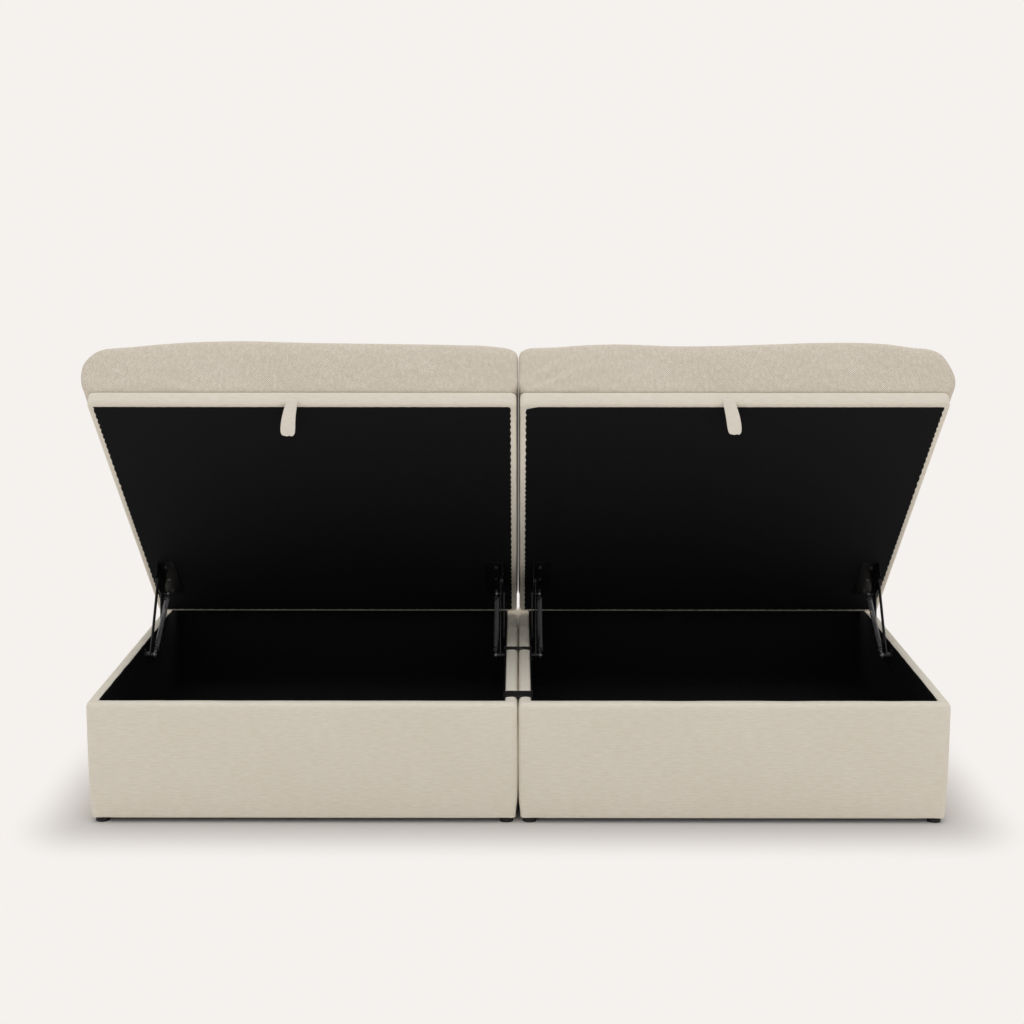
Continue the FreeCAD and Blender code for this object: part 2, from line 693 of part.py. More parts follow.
def make_lid(side, hand):
    """The lid of one module: rails, deck, wrapped cover and black underlining."""
    depth = "Dims.module_depth"

    def lid_block(name, inset, bottom, top, corner):
        return slab_body(
            f"{hand}_{name}",
            f"Made.half_width - ({inset})",
            f"-{depth} + ({inset})",
            f"-({inset})",
            bottom,
            f"({top}) - ({bottom})",
            corner,
        )[0]

    corner = "Dims.lid_corner_radius"
    inside_corner = "Dims.lid_corner_radius - Dims.lid_cover_thickness"
    margin = "Dims.lid_cover_thickness"
    hem = "Dims.lid_hem_thickness"
    full = "Dims.lid_thickness"

    form = lid_block("lid_form", "0", "0", full, corner)
    inside = lid_block("lid_inside", margin, hem, f"{full} + 1", inside_corner)
    window = block(
        f"{hand}_hem_window",
        "-Made.half_width + Dims.lid_hem_width",
        f"-{depth} + Dims.lid_hem_width",
        "-1",
        "Dims.module_width - Dims.lid_hem_width * 2",
        f"{depth} - Dims.lid_hem_width * 2",
        f"{hem} + 2",
    )
    wrap = cut(f"{hand}_lid_wrap", form, fuse(f"{hand}_lid_wrap_void", inside, window))
    start = "-Dims.tab_width / 2"
    tongue = block(
        f"{hand}_tab_tongue",
        f"{start} + Dims.{hand}_tab_shift",
        f"-{depth} - Dims.tab_reach + Dims.tab_thickness / 2 + Dims.side_play",
        "Dims.tab_rise - 1.5",
        "Dims.tab_width",
        "Dims.tab_reach - Dims.tab_thickness / 2 - Dims.side_play + 1",
        "3",
    )
    wrap = on_lid(fuse(f"{hand}_lid_cover", wrap, tongue), side)
    groove = bind(
        doc.addObject("Part::Cylinder", f"{hand}_tab_groove"),
        Radius="Dims.tab_thickness / 2 + Dims.side_play",
        Height="Dims.tab_width + 6",
    )
    groove.Placement = FreeCAD.Placement(Vector(), FreeCAD.Rotation(Vector(0, 1, 0), 90))
    move(groove, "-Dims.tab_width / 2 - 3", 0, 0)
    below = block(
        f"{hand}_strap_room",
        "-Dims.tab_width / 2 - 3",
        "-Dims.tab_thickness / 2 - Dims.side_play",
        "-Dims.tab_thickness * 3",
        "Dims.tab_width + 6",
        "Dims.tab_thickness + Dims.side_play * 2",
        "Dims.tab_thickness * 3",
    )
    groove = place_tab(fuse(f"{hand}_tab_clearance", groove, below), side, hand)
    keep(cut(f"{hand}_lid_wrap_grooved", wrap, groove), f"{hand}_lid_border_cover")

    deck_slab = block(
        f"{hand}_deck_slab",
        "-Made.half_width",
        f"-{depth}",
        "Made.rail_top",
        "Dims.module_width",
        depth,
        "Dims.deck_thickness",
    )
    deck_form = lid_block("deck_form", margin, hem, full, inside_corner)
    keep(on_lid(common(f"{hand}_deck", deck_form, deck_slab), side), f"{hand}_lid_deck")

    rail_height = f"Made.rail_top - {hem}"
    rails = []
    for way in (-1, 1):
        x, width = across(way, "Made.rail_inside", "Made.rail_outside")
        slab = block(f"{hand}_rail_slab_{way + 1}", x, f"-{depth}", hem, width, depth, rail_height)
        form = lid_block(f"rail_form_{way + 1}", margin, hem, full, inside_corner)
        rails.append(common(f"{hand}_side_rail_{way + 1}", form, slab))
    pair = group(f"{hand}_side_rails", *rails)
    drilled = cut(f"{hand}_side_rails_drilled", pair, lid_screw_holes(hand, "rail"))
    keep(on_lid(drilled, side), f"{hand}_lid_side_rails")

    rails = []
    inside_width = "Made.rail_inside * 2"
    starts = (
        f"-{depth} + {margin}",
        f"-({depth} + Dims.rail_width) / 2",
        f"-{margin} - Dims.rail_width",
    )
    for number, y in enumerate(starts):
        name = f"{hand}_cross_rail_{number}"
        rails.append(block(name, "-Made.rail_inside", y, hem, inside_width, "Dims.rail_width", rail_height))
    keep(on_lid(group(f"{hand}_cross_rails", *rails), side), f"{hand}_lid_cross_rails")

    cloth = block(
        f"{hand}_lid_sheet",
        "-Made.half_width + Dims.underlining_margin",
        f"-{depth} + Dims.underlining_margin",
        "-Dims.underlining_thickness",
        "Dims.module_width - Dims.underlining_margin * 2",
        f"{depth} - Dims.underlining_margin * 2",
        "Dims.underlining_thickness",
    )
    cloth = cut(f"{hand}_lid_cloth", cloth, lid_screw_holes(hand, "cloth"))
    keep(on_lid(cloth, side), f"{hand}_lid_underlining")


def lid_screw_holes(hand, use):
    """Holes for the lid brackets' screws, through the underlining and into the side rails."""
    drills = []
    for way in (-1, 1):
        for number, place in enumerate(screw_places_on_lid()):
            x = f"{way} * (Made.lined_wall - Dims.lid_plate_layer - Dims.lid_screw_inset)"
            drills.append(
                upright(
                    f"{hand}_{use}_lid_hole_{way + 1}_{number}",
                    "Dims.screw_radius + Dims.screw_clearance",
                    "Dims.screw_length + 1",
                    x,
                    f"-({place})",
                    "-Dims.underlining_thickness - Dims.bracket_thickness - 0.5",
                )
            )
    return fuse(f"{hand}_{use}_lid_holes", *drills)


def cushion_ring(side, rise, bulge, inset, corner):
    """One level outline of the cushion: four sides joined by four round corners."""
    half = size("module_width") / 2
    outside = half - inset + bulge * size("cushion_outer_bulge")
    inside = half - inset + bulge * size("cushion_inner_bulge")
    right = outside if side > 0 else inside
    left = inside if side > 0 else outside
    front = -size("module_depth") + inset - bulge * size("cushion_front_bulge")
    back = -inset + bulge * size("cushion_back_bulge")
    height = size("lid_thickness") + rise
    corners = (
        (Vector(right, front, height), Vector(-1, 0, 0), Vector(0, 1, 0)),
        (Vector(right, back, height), Vector(0, -1, 0), Vector(-1, 0, 0)),
        (Vector(-left, back, height), Vector(1, 0, 0), Vector(0, -1, 0)),
        (Vector(-left, front, height), Vector(0, 1, 0), Vector(1, 0, 0)),
    )
    ends = []
    arcs = []
    for point, before, after in corners:
        first = point + before * corner
        last = point + after * corner
        centre = first + after * corner
        outwards = (point - centre).normalize()
        arcs.append(Part.Arc(first, centre + outwards * corner, last).toShape())
        ends.append((first, last))
    edges = []
    for number, arc in enumerate(arcs):
        edges.append(arc)
        begin = ends[number][1]
        finish = ends[(number + 1) % 4][0]
        edges.append(Part.LineSegment(begin, finish).toShape())
    return Part.Wire(edges)


def make_cushion(side, hand):
    """The seat cushion: a crowned cover with wadding, round a block of foam."""
    form = doc.addObject("Part::Feature", f"{hand}_cushion_form")
    rings = [cushion_ring(side, *level) for level in CUSHION_PROFILE]
    form.Shape = Part.makeLoft(rings, True, True)

    def foam_block(name):
        return block(
            f"{hand}_{name}",
            "-Made.half_width + Dims.foam_margin",
            "-Dims.module_depth + Dims.foam_margin",
            "Dims.lid_thickness",
            "Dims.module_width - Dims.foam_margin * 2",
            "Dims.module_depth - Dims.foam_margin * 2",
            "Dims.foam_height",
        )

    cover = cut(f"{hand}_cushion_cover", form, foam_block("foam_pocket"))
    keep(on_lid(cover, side), f"{hand}_seat_cover")
    keep(on_lid(group(f"{hand}_foam_core", foam_block("foam")), side), f"{hand}_seat_foam")


def place_tab(item, side, hand):
    """Place what is drawn from the pull tab's pivot, hanging down with its sideways lean."""
    turn(item, Vector(0, 1, 0), f"Dims.{hand}_tab_lean * 1 deg")
    back = (
        "Made.lid_open_back - (Dims.module_depth + Dims.tab_reach) * Made.tilt_cos"
        " + Dims.tab_rise * Made.tilt_sin - Made.half_depth"
    )
    height = (
        "Made.lid_height + (Dims.module_depth + Dims.tab_reach) * Made.tilt_sin"
        " + Dims.tab_rise * Made.tilt_cos"
    )
    return move(item, f"{side} * Made.half_pitch + Dims.{hand}_tab_shift", back, height)


def make_tab(side, hand):
    """The pull tab: a strap folded into a flat loop that hangs from the lid's front edge."""
    x = "-Dims.tab_width / 2"
    radius = "Dims.tab_thickness / 2"
    drop = "Dims.tab_length - Dims.tab_thickness"
    strap = block(f"{hand}_tab_strap", x, f"-{radius}", f"-({drop})", "Dims.tab_width", "Dims.tab_thickness", drop)
    ends = []
    for number, z in enumerate(("0", f"-({drop})")):
        round_end = bind(
            doc.addObject("Part::Cylinder", f"{hand}_tab_end_{number}"), Radius=radius, Height="Dims.tab_width"
        )
        round_end.Placement = FreeCAD.Placement(Vector(), FreeCAD.Rotation(Vector(0, 1, 0), 90))
        ends.append(move(round_end, x, 0, z))
    slot = block(
        f"{hand}_tab_slot",
        f"{x} - 1",
        "-Dims.tab_slot / 2",
        f"-({drop})",
        "Dims.tab_width + 2",
        "Dims.tab_slot",
        f"{drop} - Dims.tab_thickness * 2",
    )
    loop = cut(f"{hand}_tab_loop", fuse(f"{hand}_tab_form", strap, *ends), slot)
    keep(place_tab(loop, side, hand), f"{hand}_pull_tab")


def make_base_bracket(side, hand, way, name):
    """A flat bracket screwed to the lined wall, with the two stepped pins that the arms turn on."""
    near, far = layer("0", "Dims.bracket_thickness")
    start, width = across(way, near, far)
    plate = block(
        f"{name}_plate",
        start,
        "Made.front_pivot_back - Dims.base_bracket_lead",
        "Dims.rim_height - Dims.base_bracket_drop - Dims.base_bracket_height",
        width,
        "Made.rear_pivot_back - Made.front_pivot_back + Dims.base_bracket_lead + Dims.base_bracket_reach",
        "Dims.base_bracket_height",
    )
    ends = []
    pivots = (
        ("front", "Made.front_pivot_back", "Made.front_pivot_height"),
        ("rear", "Made.rear_pivot_back", "Made.rear_pivot_height"),
    )
    for end, y, z in pivots:
        ends.append(crosswise(f"{name}_{end}_ear", way, "Dims.base_bracket_ear", near, far, y, z))
    drills = []
    for number, place in enumerate(screw_places_on_base()):
        drills.append(
            crosswise(
                f"{name}_hole_{number}",
                way,
                "Dims.screw_radius + Dims.screw_clearance",
                f"{near} - 1",
                f"{far} + 1",
                place,
                "Dims.rim_height - Dims.base_screw_drop",
            )
        )
    holes = fuse(f"{name}_holes", *drills)
    body = cut(f"{name}_body", fuse(f"{name}_blank", plate, *ends), holes)

    rear = (
        ("collar", "Dims.collar_radius", "Dims.bracket_thickness", "Dims.rear_arm_layer - Dims.side_play"),
        ("shank", "Dims.pin_radius", "Dims.bracket_thickness", "Made.rear_shank_end"),
        ("head", "Dims.head_radius", "Made.rear_shank_end", "Made.rear_shank_end + Dims.head_thickness"),
    )
    front = (
        ("collar", "Dims.collar_radius", "Dims.bracket_thickness", "Dims.front_arm_layer - Dims.side_play"),
        ("shank", "Dims.pin_radius", "Dims.bracket_thickness", "Made.front_shank_end"),
        ("spacer", "Dims.head_radius", "Made.front_shank_end", "Made.spring_eye_start - Dims.side_play"),
        ("tip", "Dims.lid_pin_radius", "Made.front_shank_end", "Made.spring_eye_end"),
        ("head", "Dims.head_radius - 1", "Made.spring_eye_end", "Made.spring_eye_end + Dims.head_thickness"),
    )
    pins = [
        stepped_pin(f"{name}_rear_pin", way, rear, *pivots[1][1:]),
        stepped_pin(f"{name}_front_pin", way, front, *pivots[0][1:]),
    ]
    keep(on_base(group(f"{name}_set", body, *pins), side), name)


def stepped_pin(name, way, steps, y, z):
    """A round pin made of steps, each from one distance from the lined wall to another."""
    turned = []
    for step, radius, begin, finish in steps:
        near, far = layer(begin, finish)
        turned.append(crosswise(f"{name}_{step}", way, radius, near, far, y, z))
    return fuse(name, *turned) if len(turned) > 1 else turned[0]


def make_lid_bracket(side, hand, way, name):
    """An angle plate under the lid, with the pin that joins it to the rear arm."""
    near, far = layer("Dims.lid_plate_layer", "Dims.lid_plate_layer + Dims.bracket_thickness")
    start, width = across(way, near, far)
    thickness = "Dims.bracket_thickness"
    top = "-Dims.underlining_thickness"
    reach = "Dims.lid_front_pivot_along - Dims.lid_rear_pivot_along"
    web = block(
        f"{name}_web",
        start,
        "-Dims.lid_front_pivot_along - Dims.lid_plate_width / 2",
        "-Dims.lid_rear_pivot_drop",
        width,
        f"{reach} + Dims.lid_plate_width",
        f"Dims.lid_rear_pivot_drop + ({top})",
    )
    slope = link_plate(
        f"{name}_slope",
        f"sqrt(({reach}) ^ 2 + (Dims.lid_front_pivot_drop - Dims.lid_rear_pivot_drop) ^ 2)",
        "Dims.lid_plate_width",
        thickness,
        (),
    )
    turn(slope, ACROSS, f"atan2(Dims.lid_front_pivot_drop - Dims.lid_rear_pivot_drop; {reach})")
    move(slope, start, "-Dims.lid_front_pivot_along", "-Dims.lid_front_pivot_drop")
    flange_start, flange_width = across(way, f"{far} - Dims.lid_flange_width", far)
    flange = block(
        f"{name}_flange",
        flange_start,
        "-Dims.lid_flange_start - Dims.lid_flange_length",
        f"{top} - {thickness}",
        flange_width,
        "Dims.lid_flange_length",
        thickness,
    )
    holes = lid_screw_holes(f"{name}", "plate")
    body = cut(f"{name}_body", fuse(f"{name}_blank", web, slope, flange), holes)
    steps = (
        ("head", "Dims.head_radius - 1", "Made.lid_pin_head_start", "Made.lid_pin_head_end"),
        ("shank", "Dims.lid_pin_radius", "Made.lid_pin_head_start", "Dims.lid_plate_layer"),
        ("stub", "Dims.lid_pin_radius", f"Dims.lid_plate_layer + {thickness}", "Made.lid_pin_end"),
    )
    pins = [
        stepped_pin(f"{name}_outer_pin", way, steps[:2], "-Dims.lid_rear_pivot_along", "-Dims.lid_rear_pivot_drop"),
        stepped_pin(f"{name}_inner_pin", way, steps[2:], "-Dims.lid_rear_pivot_along", "-Dims.lid_rear_pivot_drop"),
    ]
    keep(on_lid(group(f"{name}_set", body, *pins), side), name)


def make_arms(side, hand, way, label):
    """The two arms of one lift: the long front arm and the short rear arm."""
    name = f"{hand}_{label}_front_arm"
    bar = link_plate(
        f"{name}_bar",
        "Made.front_arm_length",
        "Dims.front_arm_width",
        "Dims.arm_thickness",
        ((0, "Dims.pin_radius + Dims.pin_clearance"),),
    )
    near, far = layer("Dims.front_arm_layer", "Dims.front_arm_layer + Dims.arm_thickness")
    start, _ = across(way, near, far)
    move(bar, start, 0, 0)
    rivets = []
    rivet_layers = (
        ("wall_side", "Dims.front_arm_layer - Made.rivet_room", "Dims.front_arm_layer"),
        ("open_side", "Dims.front_arm_layer + Dims.arm_thickness", "Made.rivet_end"),
    )
    for end, begin, finish in rivet_layers:
        low, high = layer(begin, finish)
        rivets.append(crosswise(f"{name}_{end}", way, "Dims.collar_radius", low, high, "Made.front_arm_length", 0))
    arm = fuse(f"{name}_riveted", bar, *rivets)
    on_pivot(arm, side, "Made.front_pivot_back", "Made.front_pivot_height", "Made.front_arm_angle")
    keep(arm, name)

    name = f"{hand}_{label}_rear_arm"
    bores = (
        (0, "Dims.pin_radius + Dims.pin_clearance"),
        (1, "Dims.lid_pin_radius + Dims.pin_clearance"),
    )
    bar = link_plate(f"{name}_bar", "Made.rear_arm_length", "Dims.rear_arm_width", "Dims.arm_thickness", bores)
    near, far = layer("Dims.rear_arm_layer", "Dims.rear_arm_layer + Dims.arm_thickness")
    start, _ = across(way, near, far)
    turn(bar, ACROSS, "Made.rear_arm_angle")
    x = f"{side} * Made.half_pitch + ({start})"
    move(bar, x, "Made.rear_pivot_back - Made.half_depth", "Made.rear_pivot_height")
    keep(bar, name)


def smooth_join(start, heading, end, leaving):
    """Two tangent arcs from one point and direction to another."""
    chord = end - start
    both = heading + leaving
    spread = 2 * (1 - heading.dot(leaving))
    along = chord.dot(both)
    reach = (-along + math.sqrt(along * along + spread * chord.dot(chord))) / spread
    first_corner = start + heading * reach
    last_corner = end - leaving * reach
    meeting = (first_corner + last_corner) / 2
    return [round_corner(start, first_corner, meeting), round_corner(meeting, last_corner, end)]


def round_corner(start, corner, end):
    """The arc from start to end that is tangent to the lines to their shared corner."""
    middle = (start + end) / 2
    height = (corner - middle).Length
    half_chord = (end - start).Length / 2
    half_turn = math.atan2(height, half_chord)
    point = middle + (corner - middle) * (math.tan(half_turn / 2) / math.tan(half_turn))
    return Part.Arc(start, point, end)


def helix_point(angle, radius, rise, begin):
    """A point of the coil and its direction; the coil's axis is the Y axis."""
    point = Vector(radius * math.cos(angle), begin + rise * angle, radius * math.sin(angle))
    direction = Vector(-radius * math.sin(angle), rise, radius * math.cos(angle)).normalize()
    return point, direction


def coil_shape():
    """A tension spring's wire: a straight lead at each end and its turns between, as one tube along +Y."""
    radius = size("spring_radius")
    wire = size("spring_wire")
    turns = int(size("spring_turns"))
    begin = size("spring_neck_length")
    finish = made.spring_length - begin - size("side_play")
    lead = wire + 3.5
    rise = (finish - begin - 2 * lead) / (2 * math.pi * turns)
    ahead = Vector(0, 1, 0)
    swing = LEAD_TURN

    def rim(angle, height):
        return Vector(radius * math.cos(angle), height, radius * math.sin(angle))

    last_angle = 2 * math.pi * turns
    path = []
    tail = rim(-swing, begin + wire)
    path.append(Part.LineSegment(rim(-swing, begin), tail))
    point, heading = helix_point(0, radius, rise, begin + lead)
    path.extend(smooth_join(tail, ahead, point, heading))
    points = [point]
    for step in range(turns * 2):
        following, leaving = helix_point((step + 1) * math.pi, radius, rise, begin + lead)
        path.extend(smooth_join(point, heading, following, leaving))
        point, heading = following, leaving
        points.append(point)
    tail = rim(last_angle + swing, finish - wire)
    path.extend(smooth_join(point, heading, tail, ahead))
    path.append(Part.LineSegment(tail, rim(last_angle + swing, finish)))
    spine = Part.Wire([curve.toShape() for curve in path])
    profile = Part.Wire([Part.Circle(rim(-swing, begin), ahead, wire / 2).toShape()])
    pipe = Part.BRepOffsetAPI.MakePipeShell(spine)
    pipe.add(profile)
    pipe.build()
    pipe.makeSolid()
    solid = pipe.shape()
    if not coil_shape.reported:
        report_coil(spine, wire, solid)
        coil_shape.reported = True
    return solid


coil_shape.reported = False


def report_coil(spine, wire, solid):
    """Print the least gap between neighbouring turns, from points on the wire's line."""
    count = 2400
    points = spine.discretize(count)
    length = spine.Length
    step = length / (count - 1)
    apart = int(math.pi * size("spring_radius") / step)
    least = length
    for first in range(0, count, 3):
        for second in range(first + apart, min(first + 4 * apart, count)):
            least = min(least, (points[first] - points[second]).Length)
    share = solid.Volume / (math.pi * (wire / 2) ** 2 * length)
    print(f"spring wire {length:.0f} mm long, least gap {least - wire:.2f} mm, volume share {share:.4f}")
    if least - wire < LEAST_GAP:
        raise ValueError("the spring's turns are too close")


def spring_end(name, way, near, far, flip):
    """The steel plug that holds one end of a coil, with its eye, drawn from the eye along +Y or -Y."""
    along = -1 if flip else 1
    pivot = "Made.spring_length" if flip else "0"
    eye = crosswise(f"{name}_eye", way, "Dims.spring_eye_radius", near, far, pivot, 0)
    start, width = across(way, near, far)
    reach = "Dims.spring_neck_length - 5"
    begin = f"{pivot} - ({reach})" if flip else "0"
    tongue = block(f"{name}_tongue", start, begin, "-4", width, reach, "8")
    collar = bind(doc.addObject("Part::Cylinder", f"{name}_collar"), Radius="Dims.spring_neck_radius", Height="5")
    collar.Placement = FreeCAD.Placement(Vector(), FreeCAD.Rotation(ACROSS, -90 * along))
    middle = f"{way} * (Made.lined_wall - Dims.spring_layer)"
    face = f"{pivot} - ({reach})" if flip else reach
    move(collar, middle, face, 0)
    return fuse(f"{name}_plug", eye, tongue, collar)


def make_springs(side, hand):
    """Each lift's tension spring between the front base pin and the lid's rear pin."""
    near, far = layer("Made.spring_eye_start", "Made.spring_eye_end")
    tops = []
    for way, label in ((side, "outer"), (-side, "inner")):
        name = f"{hand}_{label}_spring"
        coil = doc.addObject("Part::Feature", f"{name}_coil")
        coil.Shape = coil_shape()
        move(coil, f"{way} * (Made.lined_wall - Dims.spring_layer)", 0, 0)
        plug = spring_end(f"{name}_low", way, near, far, False)
        bore = crosswise(
            f"{name}_bore",
            way,
            "Dims.lid_pin_radius + Dims.pin_clearance",
            f"{near} - 1",
            f"{far} + 1",
            0,
            0,
        )
        low = cut(f"{name}_eye", plug, bore)
        item = group(f"{name}_set", low, coil)
        on_pivot(item, side, "Made.front_pivot_back", "Made.front_pivot_height", "Made.spring_angle")
        keep(item, name)
        top = spring_end(f"{name}_top", way, near, far, True)
        cap_near, cap_far = layer("Made.spring_eye_end", "Made.spring_eye_end + Dims.head_thickness")
        cap = crosswise(
            f"{name}_top_cap", way, "Dims.head_radius - 1", cap_near, cap_far, "Made.spring_length", 0
        )
        tops.append(fuse(f"{name}_top_hook", top, cap))
    item = group(f"{hand}_spring_tops", *tops)
    on_pivot(item, side, "Made.front_pivot_back", "Made.front_pivot_height", "Made.spring_angle")
    keep(item, f"{hand}_spring_top_hooks")


def make_screws(side, hand):
    """Pan-head screws: three through each base bracket and three through each lid bracket."""
    wall_screws = []
    for way in (-1, 1):
        near, far = layer("-Dims.screw_length + Dims.bracket_thickness", "Dims.bracket_thickness")
        _, head_far = layer("Dims.bracket_thickness", "Dims.bracket_thickness + Dims.screw_head_thickness")
        head_near = f"{head_far} - Dims.screw_head_thickness"
        for number, place in enumerate(screw_places_on_base()):
            z = "Dims.rim_height - Dims.base_screw_drop"
            name = f"{hand}_wall_screw_{way + 1}_{number}"
            shank = crosswise(f"{name}_shank", way, "Dims.screw_radius", near, far, place, z)
            head = crosswise(f"{name}_head", way, "Dims.screw_head_radius", head_near, head_far, place, z)
            wall_screws.append(fuse(name, shank, head))
    keep(on_base(group(f"{hand}_wall_screws", *wall_screws), side), f"{hand}_base_bracket_screws")

    lid_screws = []
    seat = "-Dims.underlining_thickness - Dims.bracket_thickness"
    for way in (-1, 1):
        x = f"{way} * (Made.lined_wall - Dims.lid_plate_layer - Dims.lid_screw_inset)"
        for number, place in enumerate(screw_places_on_lid()):
            name = f"{hand}_lid_screw_{way + 1}_{number}"
            shank = upright(f"{name}_shank", "Dims.screw_radius", "Dims.screw_length", x, f"-({place})", seat)
            low = f"{seat} - Dims.screw_head_thickness"
            head = upright(
                f"{name}_head", "Dims.screw_head_radius", "Dims.screw_head_thickness", x, f"-({place})", low
            )
            lid_screws.append(fuse(name, shank, head))
    keep(on_lid(group(f"{hand}_lid_screws", *lid_screws), side), f"{hand}_lid_bracket_screws")


def make_clips():
    """Two steel clips that straddle the side rims of both modules and keep them together."""
    reach = "Dims.module_gap / 2 + Made.wall"
    for end in ("front", "rear"):
        y = f"Dims.{end}_clip_back - Made.half_depth"
        depth = f"Dims.{end}_clip_width"
        bar = block(
            f"{end}_clip_bar",
            f"-({reach} + Dims.clip_thickness)",
            y,
            "Dims.rim_height",
            f"({reach} + Dims.clip_thickness) * 2",
            depth,
            "Dims.clip_thickness",
        )
        legs = []
        for way in (-1, 1):
            start, width = across(way, reach, f"{reach} + Dims.clip_thickness")
            name = f"{end}_clip_leg_{way + 1}"
            legs.append(block(name, start, y, "Dims.rim_height - Dims.clip_leg", width, depth, "Dims.clip_leg + 1"))
        keep(fuse(f"{end}_clip", bar, *legs), f"joining_clip_{end}")


PIN_FORMULAS = (
    ("rear_shank_end", "Dims.rear_arm_layer + Dims.arm_thickness + Dims.side_play"),
    ("front_shank_end", "Dims.front_arm_layer + Dims.arm_thickness + Dims.side_play"),
    ("spring_eye_start", "Dims.spring_layer - Dims.spring_eye_thickness / 2"),
    ("spring_eye_end", "Dims.spring_layer + Dims.spring_eye_thickness / 2"),
    ("lid_pin_end", "Made.spring_eye_start - Dims.side_play"),
    ("lid_pin_head_end", "Dims.rear_arm_layer - Dims.side_play"),
    ("lid_pin_head_start", "Dims.bracket_thickness + Dims.side_play"),
    ("rivet_room", "Dims.front_arm_layer - Dims.lid_plate_layer - Dims.bracket_thickness - Dims.side_play"),
    ("rivet_end", "Dims.front_arm_layer + Dims.arm_thickness + Dims.head_thickness"),
)


def check_and_export():
    """Stop on any failed object or shape, then write one file per sub-part."""
    for item in doc.Objects:
        if "Invalid" in item.State or "Error" in item.State:
            raise ValueError(f"{item.Name} failed: {item.State}")
    os.makedirs("parts", exist_ok=True)
    for node, item in kept:
        shape = item.Shape
        if shape.isNull() or not shape.isValid() or not shape.Solids:
            raise ValueError(f"{node} has no valid solid")
    for node, item in kept:
        item.Shape.exportStep(f"parts/{node}.step")
    print(len(kept), "sub-parts written")


fill_sheet()
WORKED_OUT += PIN_FORMULAS
work_out()
for side, hand in ((-1, "left"), (1, "right")):
    make_base(side, hand)
    make_lid(side, hand)
    make_cushion(side, hand)
    make_tab(side, hand)
    for way, label in ((side, "outer"), (-side, "inner")):
        make_base_bracket(side, hand, way, f"{hand}_{label}_base_bracket")
        make_lid_bracket(side, hand, way, f"{hand}_{label}_lid_bracket")
        make_arms(side, hand, way, label)
    make_springs(side, hand)
    make_screws(side, hand)
make_clips()
doc.recompute()
check_and_export()
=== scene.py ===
"""Dresses the storage sofa: two upholstered modules whose seats stand open on their lifts.

Everything is in metres in the CAD's frame: origin on the floor at the middle of the footprint, +X to
the right, +Y to the back, +Z up. Pieces of a lid are drawn lying flat and then tilted with it.
"""
import json
import math

import bpy
import numpy as np
from mathutils import Matrix, Vector, noise


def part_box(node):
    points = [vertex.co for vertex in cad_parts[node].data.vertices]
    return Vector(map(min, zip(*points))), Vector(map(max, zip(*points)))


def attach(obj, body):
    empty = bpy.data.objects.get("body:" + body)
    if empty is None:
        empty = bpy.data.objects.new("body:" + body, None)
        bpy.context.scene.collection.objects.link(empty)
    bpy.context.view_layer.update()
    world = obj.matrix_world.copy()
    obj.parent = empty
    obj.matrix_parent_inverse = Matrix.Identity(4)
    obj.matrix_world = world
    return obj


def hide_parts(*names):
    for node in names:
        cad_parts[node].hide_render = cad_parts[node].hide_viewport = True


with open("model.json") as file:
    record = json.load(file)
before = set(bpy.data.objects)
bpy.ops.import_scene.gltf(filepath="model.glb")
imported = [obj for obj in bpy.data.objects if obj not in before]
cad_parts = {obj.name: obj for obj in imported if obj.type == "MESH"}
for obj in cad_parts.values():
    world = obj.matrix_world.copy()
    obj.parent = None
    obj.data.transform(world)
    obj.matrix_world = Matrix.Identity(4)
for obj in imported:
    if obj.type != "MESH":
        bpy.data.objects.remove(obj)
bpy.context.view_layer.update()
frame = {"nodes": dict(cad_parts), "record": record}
MM = 0.001

# Sizes of one module, read from the frame.
BASE_LOW, BASE_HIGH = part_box("right_base_cover")
HALF_PITCH = (BASE_LOW[0] + BASE_HIGH[0]) / 2
HALF_WIDTH = (BASE_HIGH[0] - BASE_LOW[0]) / 2
HALF_DEPTH = (BASE_HIGH[1] - BASE_LOW[1]) / 2
CORNER = 14 * MM
# Points round each corner of an outline.
CORNER_POINTS = 7

# The open lid: its tilt and the place of its rear bottom edge. It stands 2 mm further out than its base,
# so that a slit of daylight shows between the lids.
LID_TILT = math.radians(41.75)
LID_BACK = 365.2 * MM
LID_RISE = 278.45 * MM
LID_OUTWARD = 2 * MM
LID_THICKNESS = 30 * MM
LID_DEPTH = 2 * HALF_DEPTH
# Width of the cloth that is turned under the lid's edge and stays in sight round the underlining.
STRIP = 12 * MM

SIDES = {"left": -1, "right": 1}

# Front pivot of the lift on the base: distance back from the middle and height.
FRONT_PIVOT = (27 * MM, 248.9 * MM)


def linear(hex_colour):
    """An sRGB hex colour as linear RGBA."""
    channels = [int(hex_colour[i : i + 2], 16) / 255 for i in (1, 3, 5)]
    return [c / 12.92 if c <= 0.04045 else ((c + 0.055) / 1.055) ** 2.4 for c in channels] + [1.0]


def smooth(low, high, value):
    """0 below low, 1 above high, and an even S between."""
    t = np.clip((np.asarray(value, dtype=float) - low) / (high - low), 0, 1)
    return t * t * (3 - 2 * t)


def waves(points, scale, seed):
    """Smooth noise of about -1 to 1 at each point, with features of the given size in metres."""
    shift = Vector((seed * 17.3, seed * 5.1, seed * 9.7))
    return np.array([noise.noise(Vector(p) / scale + shift) for p in points])


def lid_matrix(side):
    """From lid coordinates (x from the module's middle, minus the distance from the rear edge, height)."""
    place = Matrix.Translation((side * (HALF_PITCH + LID_OUTWARD), LID_BACK, LID_RISE))
    return place @ Matrix.Rotation(-LID_TILT, 4, "X")


def base_matrix(side):
    """From a module's own middle to its place in the pair."""
    return Matrix.Translation((side * HALF_PITCH, 0, 0))


